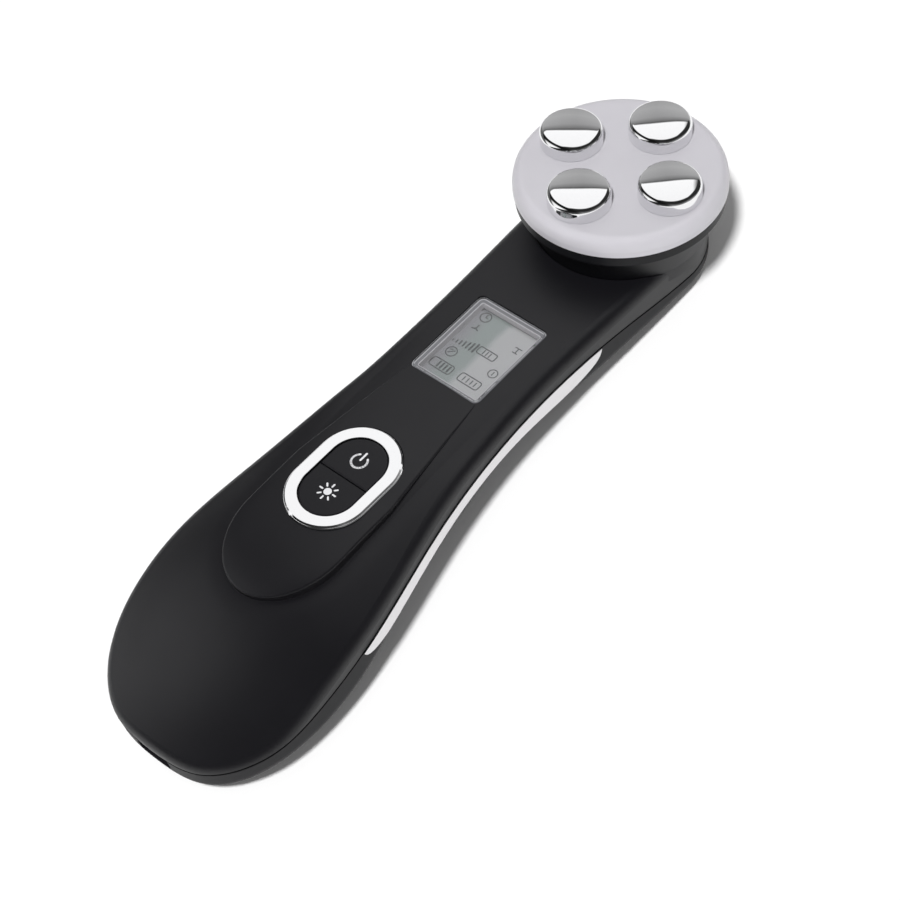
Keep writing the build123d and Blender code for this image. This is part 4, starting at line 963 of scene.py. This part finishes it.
@dataclass
class DisplayUnit(SubAssembly):
    """The display under its clear window, with generic segments on the glass."""

    finishes: tuple = (
        (CLEAR, ("display_window",)),
        (DISPLAY, ("lcd_panel",)),
        (LIGHT_GUIDE, ("lcd_backlight",)),
        (FOAM, ("display_gasket",)),
    )
    middle: float = 45.4
    glass_top: float = -3.5
    ink: float = 0.03
    line: float = 0.28
    ring_points: int = 40
    frame_round: float = 0.28
    level_count: int = 7
    level_left: float = 8.2
    level_pitch: float = 0.98
    level_ends: Span = (-0.2, 0.2)
    level_rise: float = 0.34
    level_line: float = 1.2
    level_growth: float = 0.12
    opening_length: float = 22.9
    opening_width: float = 17.8
    opening_corner: float = 0.5
    sleeve_wall: float = 0.22
    sleeve_top: float = -1.68
    sleeve_gap: float = 0.03
    sleeve_bevel: float = 0.06
    plate_length: float = 25.3
    plate_width: float = 20.2
    plate_corner: float = 1.6
    plate_underside: float = -1.65
    edge_inset: float = 0.2
    edge_line: float = 0.3
    ledge: float = 1.25

    def _add_pieces(self, nodes: Nodes) -> None:
        """Lays the segments on the glass, and lines the opening and its ledge.

        Args:
            nodes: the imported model's nodes.
        """
        nodes["display_window"].visible_shadow = False
        settle(self._segments(), SEGMENT_INK, "root", "display_glass", Way.ADDED)
        settle(self._sleeve(), SLEEVE, "root", "light_guide", Way.ADDED)
        pale, grey = self.edge_line, self.ledge - self.edge_line - self.edge_inset
        edge_line = self._border("window_edge_line", self.edge_inset, pale)
        settle(edge_line, BORDER_PALE, "root", "light_guide", Way.ADDED)
        border = self._border("window_border", self.edge_inset + pale, grey)
        settle(border, BORDER_GREY, "root", "display_glass", Way.ADDED)

    def _at(self, up: float, across: float) -> np.ndarray:
        """Point of the display as a point of the deck."""
        return np.array([up + self.middle, across])

    def _strokes(self) -> list[tuple[Point, Point, float]]:
        """All strokes: the single ones, the bars in the frames, and the level bars, which grow rightwards.

        Returns:
            Start, end and line of each.
        """
        strokes = [*STROKES]
        strokes += [((low, y), (high, y), line) for low, high, line, places in BARS for y in places]
        foot, top = self.level_ends
        for k in range(self.level_count):
            y, high = self.level_left - self.level_pitch * k, top + self.level_rise * k
            strokes.append(((foot, y), (high, y), self.level_line + self.level_growth * k))
        return strokes

    def _segments(self) -> bpy.types.Object:
        """Clock, pointer, level bars, battery, rings and boxes.

        Returns:
            All segments as one piece.
        """
        skin, low, high = Skin(), self.glass_top, self.glass_top + self.ink
        for start, end, line in self._strokes():
            skin.tube(raised(capsule(self._at(*start), self._at(*end), line * self.line), low, self.ink))
        directions = circle(1.0, self.ring_points)
        for center, radius, line in RINGS:
            half = line * self.line / 2
            skin.rim(section(-half, half, low, high), directions * radius + self._at(*center), directions)
        for center, length, width in FRAMES:
            path, normals = rounded_box(width, length, min(length, width) * self.frame_round, 6)
            skin.rim(section(-self.line, 0.0, low, high), path + self._at(*center), normals)
        return skin.piece("display_segments", DECK, sharp=35.0)

    def _lining(
        self, name: str, profile: np.ndarray, path: np.ndarray, normals: np.ndarray,
    ) -> bpy.types.Object:
        """Carries a profile round a path about the display's middle.

        Args:
            name: the piece's name.
            profile: distances from the path, and heights.
            path: points of the closed path.
            normals: directions away from it.

        Returns:
            The piece.
        """
        skin = Skin()
        skin.rim(profile, path + self._at(0.0, 0.0), normals)
        return skin.piece(name, DECK, sharp=30.0)

    def _border(self, name: str, inset: float, width: float) -> bpy.types.Object:
        """Thin printed frame under the clear plate, over the ledge that the plate lies on.

        Args:
            name: the piece's name.
            inset: from the plate's edge to the frame's.
            width: the frame's width.

        Returns:
            The frame.
        """
        low, high = self.plate_underside + self.ink / 3, self.plate_underside + self.ink
        size = self.plate_length - 2 * inset, self.plate_width - 2 * inset
        box = rounded_box(*size, self.plate_corner - inset, 6)
        return self._lining(name, section(-width, 0.0, low, high), *box)

    def _sleeve(self) -> bpy.types.Object:
        """Pale sleeve that lines the opening between the window and the glass, bevelled at its inner top.

        Returns:
            The sleeve.
        """
        low, high, wall = self.glass_top + self.sleeve_gap, self.sleeve_top, self.sleeve_wall
        inner_top = [(-wall + self.sleeve_bevel, high), (-wall, high - self.sleeve_bevel)]
        profile = np.array([(-wall, low), (0.0, low), (0.0, high), *inner_top])
        size = self.opening_length - 2 * self.sleeve_gap, self.opening_width - 2 * self.sleeve_gap
        return self._lining("display_sleeve", profile, *rounded_box(*size, self.opening_corner, 5))


@dataclass
class KeyPad(SubAssembly):
    """The two keys, their marks and the polished ring round them."""

    finishes: tuple = ((KEY_BLACK, ("power_key", "light_key")),)
    opening_length: float = 23.2
    opening_width: float = 14.2
    ring_width: float = 3.3
    ring_proud: float = 0.4
    ring_seat: float = -1.4
    stake_radius: float = 0.7
    stake_head_radius: float = 1.15
    stake_head_height: float = 0.5
    stake_head_top: float = -3.22
    stake_share: float = 0.72
    key_top: float = 0.25
    ink: float = 0.03
    power_middle: float = 5.3
    power_radius: float = 1.9
    power_line: float = 0.5
    power_arc: Span = (35, 290)
    power_stroke: Span = (0.35, 2.5)
    light_middle: float = -5.0
    light_radius: float = 0.95
    light_ray: Span = (1.55, 2.25)
    light_line: float = 0.42

    def _add_pieces(self, nodes: Nodes) -> None:
        """Builds the ring and the marks.

        Args:
            nodes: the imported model's nodes.
        """
        settle(self._ring(), POLISHED, "root", "polished", Way.REPLACES, "key_bezel")
        settle(self._power_mark(), KEY_INK, "power_key", "key_black", Way.ADDED)
        settle(self._light_mark(), KEY_INK, "light_key", "key_black", Way.ADDED)

    def _ring(self) -> bpy.types.Object:
        """Ring with a flat face, a fine outer step and a bevel, carried round the opening, and its stakes.

        Returns:
            The ring.
        """
        w, p, s = self.ring_width, self.ring_proud, self.ring_seat
        profile = np.array([
            (0.0, s), (w, s), (w, -0.25), (w - 0.16, -0.02), (w - 0.22, -0.03), (w - 0.28, 0.05),
            (w - 0.52, p - 0.03), (w - 0.58, p), (w - 0.62, p), (0.36, p), (0.32, p), (0.12, p - 0.02),
            (0.04, p - 0.07), (0.0, p - 0.16),
        ])
        skin = Skin()
        skin.rim(profile, *stadium_path(self.opening_length, self.opening_width, 48))
        across = self.opening_width / 2 + w * self.stake_share
        along = (self.opening_length - self.opening_width) / 2
        low, top = self.stake_head_top - self.stake_head_height, self.stake_head_top
        stake = turned(np.array([
            (self.stake_head_radius, low), (self.stake_head_radius, top), (self.stake_radius, top),
            (self.stake_radius, s + 0.2),
        ]), 24)
        for x in (-along, along):
            for y in (-across, across):
                skin.tube(stake + np.array([x, y, 0.0]))
        return skin.piece("key_ring", DECK, sharp=24.0)

    def _mark(self, name: str, middle: float, outlines: list[np.ndarray]) -> bpy.types.Object:
        """Prints thin plates on a key.

        Args:
            name: the piece's name.
            middle: the mark's middle, along the deck.
            outlines: the plates' outlines about that middle.

        Returns:
            The mark.
        """
        skin = Skin()
        for outline in outlines:
            skin.tube(raised(outline + np.array([middle, 0.0]), self.key_top, self.ink))
        return skin.piece(name, DECK, sharp=35.0)

    def _power_mark(self) -> bpy.types.Object:
        """Open circle, in short strokes that overlap at their ends, with a stroke through its gap.

        Returns:
            The mark.
        """
        start, sweep = self.power_arc
        inner, outer = self.power_stroke
        arc = circle(self.power_radius, 44, radians(start), radians(sweep), closed=False)
        strokes = [*zip(arc[:-1:3], arc[3::3]), ((inner, 0.0), (outer, 0.0))]
        outlines = [capsule(first, last, self.power_line) for first, last in strokes]
        return self._mark("power_mark", self.power_middle, outlines)

    def _light_mark(self) -> bpy.types.Object:
        """Small disc with eight rays.

        Returns:
            The mark.
        """
        inner, outer = self.light_ray
        rays = [capsule(ray * inner, ray * outer, self.light_line) for ray in circle(1.0, 8)]
        return self._mark("light_mark", self.light_middle, [circle(self.light_radius, 28), *rays])


@dataclass
class TreatmentHead(SubAssembly):
    """The milky disc, its black rim and collar, and the four domed electrodes."""

    finishes: tuple = ((MILKY, ("diffuser_disc",)), (TRIM_BLACK, ("head_rim", "head_collar")))
    angles: tuple[tuple[str, float], ...] = (("front", 0), ("left", 90), ("rear", 180), ("right", 270))
    circle_radius: float = 14.6
    radius: float = 7.45
    base: float = 4.6
    side: float = 3.9
    dome: float = 1.4
    shoulder: float = 1.55
    foot_bevel: float = 0.15
    stud_radius: float = 1.5
    stud_length: float = 4.6
    pole_gap: float = 0.01
    count: int = 128

    def _add_pieces(self, nodes: Nodes) -> None:
        """Builds the electrodes at their places on the disc.

        Args:
            nodes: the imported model's nodes.
        """
        electrode = turned(self._profile(), self.count)
        for name, angle in self.angles:
            skin, turn = Skin(), radians(angle)
            skin.tube(electrode + self.circle_radius * np.array([cos(turn), sin(turn), 0.0]))
            cap = skin.piece(f"{name}_electrode_cap", HEAD, sharp=40.0)
            settle(cap, POLISHED, "root", "polished", Way.REPLACES, f"{name}_electrode")

    def _profile(self) -> np.ndarray:
        """Half section of an electrode: stud, flat foot, upright side, round shoulder and shallow dome.

        The dome is an arc of radius (r r + h h) / 2h over the whole width. The shoulder is an arc that
        leaves the side upright and meets the dome at the dome's own slope: its middle lies inside the side
        by the shoulder's radius, and as far below the dome's arc.

        Returns:
            (n, 2) radii and heights, from the stud's end to the dome's top.
        """
        r, shoulder, bevel = self.radius, self.shoulder, self.foot_bevel
        big = (r ** 2 + self.dome ** 2) / (2 * self.dome)
        center = self.base + self.side + self.dome - big
        inner = r - shoulder
        middle = center + sqrt((big - shoulder) ** 2 - inner ** 2)
        lean = asin(inner / (big - shoulder))
        rounding = circle(shoulder, 20, 0.0, pi / 2 - lean, closed=False) + np.array([inner, middle])
        sweep = lean - self.pole_gap
        crown = circle(big, 40, pi / 2 - lean, sweep, closed=False)[1:] + np.array([0.0, center])
        base, low, stud = self.base, self.base - self.stud_length, self.stud_radius
        foot = np.array([(stud / 2, low), (stud, low), (stud, base), (r - bevel, base), (r, base + bevel)])
        return np.concatenate([foot, rounding, crown])


@dataclass
class InnerWorks(SubAssembly):
    """The pieces inside the handle and the head."""

    finishes: tuple = (
        (GREEN_BOARD, ("main_board", "charge_board")),
        (WHITE_BOARD, ("led_board",)),
        (DARK_MOULDING, ("control_chip", "output_transformer", "power_switch", "light_switch")),
        (PALE_MOULDING, ("battery_connector", "power_switch_plunger", "light_switch_plunger")),
        (LAMP_RESIN, ("light_emitters",)),
        (CELL_WRAP, ("battery_cell",)),
        (FOAM, ("battery_pad",)),
        (STEEL, (
            "board_screws", "charge_board_screws", "charging_socket", "vibration_motor", "motor_weight",
            "head_screws", "electrode_nuts", "led_board_screws",
        )),
    )


# ---------------------------------------------------------------- studio
def by_angle(*stops: tuple[float, float]) -> Stops:
    """Stops by an angle from -90 to 90 degrees, as stops by a place from 0 to 1."""
    return tuple((angle / 180 + 0.5, level) for angle, level in stops)


# Glow of the tent: by the angle from straight up, away from the camera, and by the place across, from 0,
# right, to 1, left. The box is the soft light overhead, the side is a pale wall at the left, and the rest
# is the room round them.
TENT_BOX = by_angle((-90, 0.0), (-12, 0.0), (-4, 0.85), (40, 0.92), (43.5, 0.96), (44.8, 0.0), (90, 0.0))
TENT_BOX_WIDTH = ((0.0, 0.0), (0.12, 0.0), (0.14, 1.0), (0.52, 1.0), (0.545, 0.0), (1.0, 0.0))
TENT_SIDE = by_angle((-90, 0.0), (-42, 0.0), (-30, 1.0), (25, 0.8), (44, 0.0), (90, 0.0))
TENT_SIDE_WIDTH = ((0.0, 0.0), (0.74, 0.0), (0.82, 1.0), (1.0, 1.0))
TENT_REST = by_angle(
    (-90, 0.38), (-66, 0.10), (-50, 0.02), (43.5, 0.03), (44.8, 0.08), (48, 0.22), (54, 0.36), (70, 0.44),
    (90, 0.38),
)
TENT_REST_WIDTH = (
    (0.0, 1.0), (0.15, 0.95), (0.27, 0.84), (0.34, 0.88), (0.48, 1.0), (0.60, 0.30), (1.0, 0.30),
)


@dataclass
class Studio:
    """Pale floor, light tent, soft sun and camera."""

    floor_half: float = 30.0
    floor_color: Color = (0.95, 0.95, 0.95)
    floor_lift: float = 0.05
    world_strength: float = 0.22
    tent_radius: float = 0.3
    tent_rows: int = 24
    tent_columns: int = 96
    tent_gap: float = 0.02
    tent_peak: float = 1.2
    bend: float = 1.8
    bend_middle: float = -0.47
    bend_most: float = 0.26
    sun_strength: float = 2.95
    sun_angle: float = 7.0
    sun_from: Vector = (-0.29, -0.233, 0.970)
    camera_at: Vector = (-0.185945, -0.29635, 0.51558)
    camera_right: Vector = (0.64118, -0.7427, -0.19308)
    camera_up: Vector = (0.70519, 0.47103, 0.52994)
    lens: float = 108.0
    sensor: float = 36.0

    def build(self) -> None:
        """Sets the view and builds the studio."""
        bpy.context.scene.view_settings.view_transform = "Standard"
        for part in (self._world, self._floor, self._tent, self._sun, self._camera):
            part()
            LOG.info("studio: %s", part.__name__.strip("_"))

    def _world(self) -> None:
        """White where it is seen or mirrored, and a plain level of light elsewhere."""
        world = bpy.data.worlds.new("studio_world")
        world.use_nodes = True
        bpy.context.scene.world = world
        graph = Graph(world.node_tree)
        background = world.node_tree.nodes["Background"]
        background.inputs["Color"].default_value = (1.0, 1.0, 1.0, 1.0)
        strength = self._seen(graph) * (1.0 - self.world_strength) + self.world_strength
        graph.tree.links.new(strength.socket, background.inputs["Strength"])

    @staticmethod
    def _seen(graph: Graph) -> Signal:
        """One for camera, glossy and transmission rays, and nothing for the rest."""
        path = graph.add("ShaderNodeLightPath", {}, {}, "Is Camera Ray")
        return path.larger(path.twin("Is Glossy Ray")).larger(path.twin("Is Transmission Ray"))

    def _floor(self) -> None:
        """Flat floor whose own colour comes out white in this light, and which keeps the shadow."""
        half = self.floor_half
        mesh = bpy.data.meshes.new("floor")
        square = [(-half, -half, 0.0), (half, -half, 0.0), (half, half, 0.0), (-half, half, 0.0)]
        mesh.from_pydata(square, [], [(0, 1, 2, 3)])
        floor = in_scene("floor", mesh)
        surface = Surface("floor_white")
        surface.feed("Base Color", self.floor_color)
        surface.feed("Roughness", 0.9)
        surface.feed("Specular IOR Level", 0.1)
        surface.feed("Emission Color", (1.0, 1.0, 1.0))
        surface.feed("Emission Strength", self._seen(surface) * self.floor_lift)
        mesh.materials.append(surface.material)
        floor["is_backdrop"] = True

    def _tent(self) -> None:
        """Half-round light tent that only mirrors see: bright overhead, grey beyond and dark between.

        It is a half sphere of rings with a fan over the top, and its faces point inwards.
        """
        rows, columns = self.tent_rows, self.tent_columns
        profile = circle(self.tent_radius, rows, self.tent_gap, pi / 2 - 2 * self.tent_gap, closed=False)
        points = np.concatenate([turned(profile, columns).reshape(-1, 3), [(0.0, 0.0, self.tent_radius)]])
        faces = quads(rows, columns)[:, ::-1].tolist()
        faces += fan((rows - 1) * columns, columns, rows * columns)[:, ::-1].tolist()
        mesh = bpy.data.meshes.new("light_tent")
        mesh.from_pydata(points.tolist(), [], faces)
        mesh.materials.append(self._tent_glow())
        tent = in_scene("light_tent", mesh)
        tent.visible_camera = False
        tent.visible_diffuse = False
        tent.visible_shadow = False
        tent.visible_volume_scatter = False
        tent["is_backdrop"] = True

    def _tent_glow(self) -> bpy.types.Material:
        """Glow of the tent, by the angle away from the camera and by the place across.

        The angle is taken from straight up, after the place is moved back by bend times the square of its
        distance aside from bend_middle, so that the box's far edge is a curve.

        Returns:
            The material.
        """
        material = bpy.data.materials.new("tent_glow")
        material.use_nodes = True
        graph = Graph(material.node_tree)
        graph.tree.nodes.remove(graph.tree.nodes["Principled BSDF"])
        toward = unit(np.cross(self.camera_right, self.camera_up)[:2]).tolist()
        x = graph.place_x()
        y, z = x.twin("Y"), x.twin("Z")
        beyond = x * -toward[0] + y * -toward[1]
        aside = x * toward[1] - y * toward[0]
        off = aside * (1 / self.tent_radius) - self.bend_middle
        bend = (off * off * self.bend).smaller(self.bend_most) * self.tent_radius
        turn = (beyond - bend).angle_from(z) * (1 / pi) + 0.5
        across = aside * (0.5 / self.tent_radius) + 0.5
        box = self._band(graph, turn, TENT_BOX) * self._band(graph, across, TENT_BOX_WIDTH)
        side = self._band(graph, turn, TENT_SIDE) * self._band(graph, across, TENT_SIDE_WIDTH)
        rest = self._band(graph, turn, TENT_REST) * self._band(graph, across, TENT_REST_WIDTH)
        shine = graph.add("ShaderNodeEmission", {}, {"Strength": (box + side + rest) * self.tent_peak})
        graph.tree.links.new(shine.socket, graph.tree.nodes["Material Output"].inputs["Surface"])
        return material

    @staticmethod
    def _band(graph: Graph, place: Signal, stops: Stops) -> Signal:
        """Grey level that follows a place through (place, level) stops."""
        return graph.ramp(place, [(at, (level,) * 3) for at, level in stops])

    def _sun(self) -> None:
        """Wide soft sun that throws the shadow, and which no mirror shows."""
        lamp = bpy.data.lights.new("sun", "SUN")
        lamp.energy = self.sun_strength
        lamp.angle = radians(self.sun_angle)
        holder = in_scene("sun", lamp)
        right = np.cross((0.0, 1.0, 0.0), self.sun_from)
        holder.matrix_world = placed(right, self.sun_from, self.sun_from)
        holder.visible_glossy = False
        holder.visible_transmission = False

    def _camera(self) -> None:
        """Camera at the object's own viewing angle."""
        camera = bpy.data.cameras.new("camera")
        camera.lens = self.lens
        camera.sensor_width = self.sensor
        camera.clip_start, camera.clip_end = 0.01, 50.0
        holder = in_scene("camera", camera)
        back = np.cross(self.camera_right, self.camera_up)
        holder.matrix_world = placed(self.camera_right, back, self.camera_at)
        bpy.context.scene.camera = holder


def placed(right: Vector, back: Vector, at: Vector) -> Matrix:
    """Matrix of an object whose X points right and whose Z points back, with Y square to both.

    Args:
        right: direction of the object's X, of any length.
        back: direction of its Z, square to the first.
        at: where it stands.

    Returns:
        The matrix.
    """
    right, back = unit(np.array(right)), unit(np.array(back))
    table = np.eye(4)
    table[:3] = np.stack([right, np.cross(back, right), back, at], axis=-1)
    return Matrix(table.tolist())


def corners(box: tuple) -> list[list[float]]:
    """The two corners of a box as plain lists."""
    return [[float(value) for value in corner] for corner in box]


def main() -> None:
    """Loads the frame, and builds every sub-assembly and the studio."""
    logging.basicConfig(level=logging.INFO, format="%(name)s: %(message)s")
    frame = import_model()
    nodes: Nodes = frame["nodes"]
    assemblies = (
        Casing(), PartingLine(), SideStrips(), DisplayUnit(), KeyPad(), TreatmentHead(), InnerWorks(),
    )
    for assembly in assemblies:
        assembly.build(nodes)
    Studio().build()
    visual_box = corners(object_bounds())
    span = [(high - low) / MM for low, high in zip(*visual_box)]
    LOG.info("size %.1f x %.1f x %.1f mm, disc slope %.1f degrees", *span, HEAD.tilt)


if __name__ == "__main__":
    main()
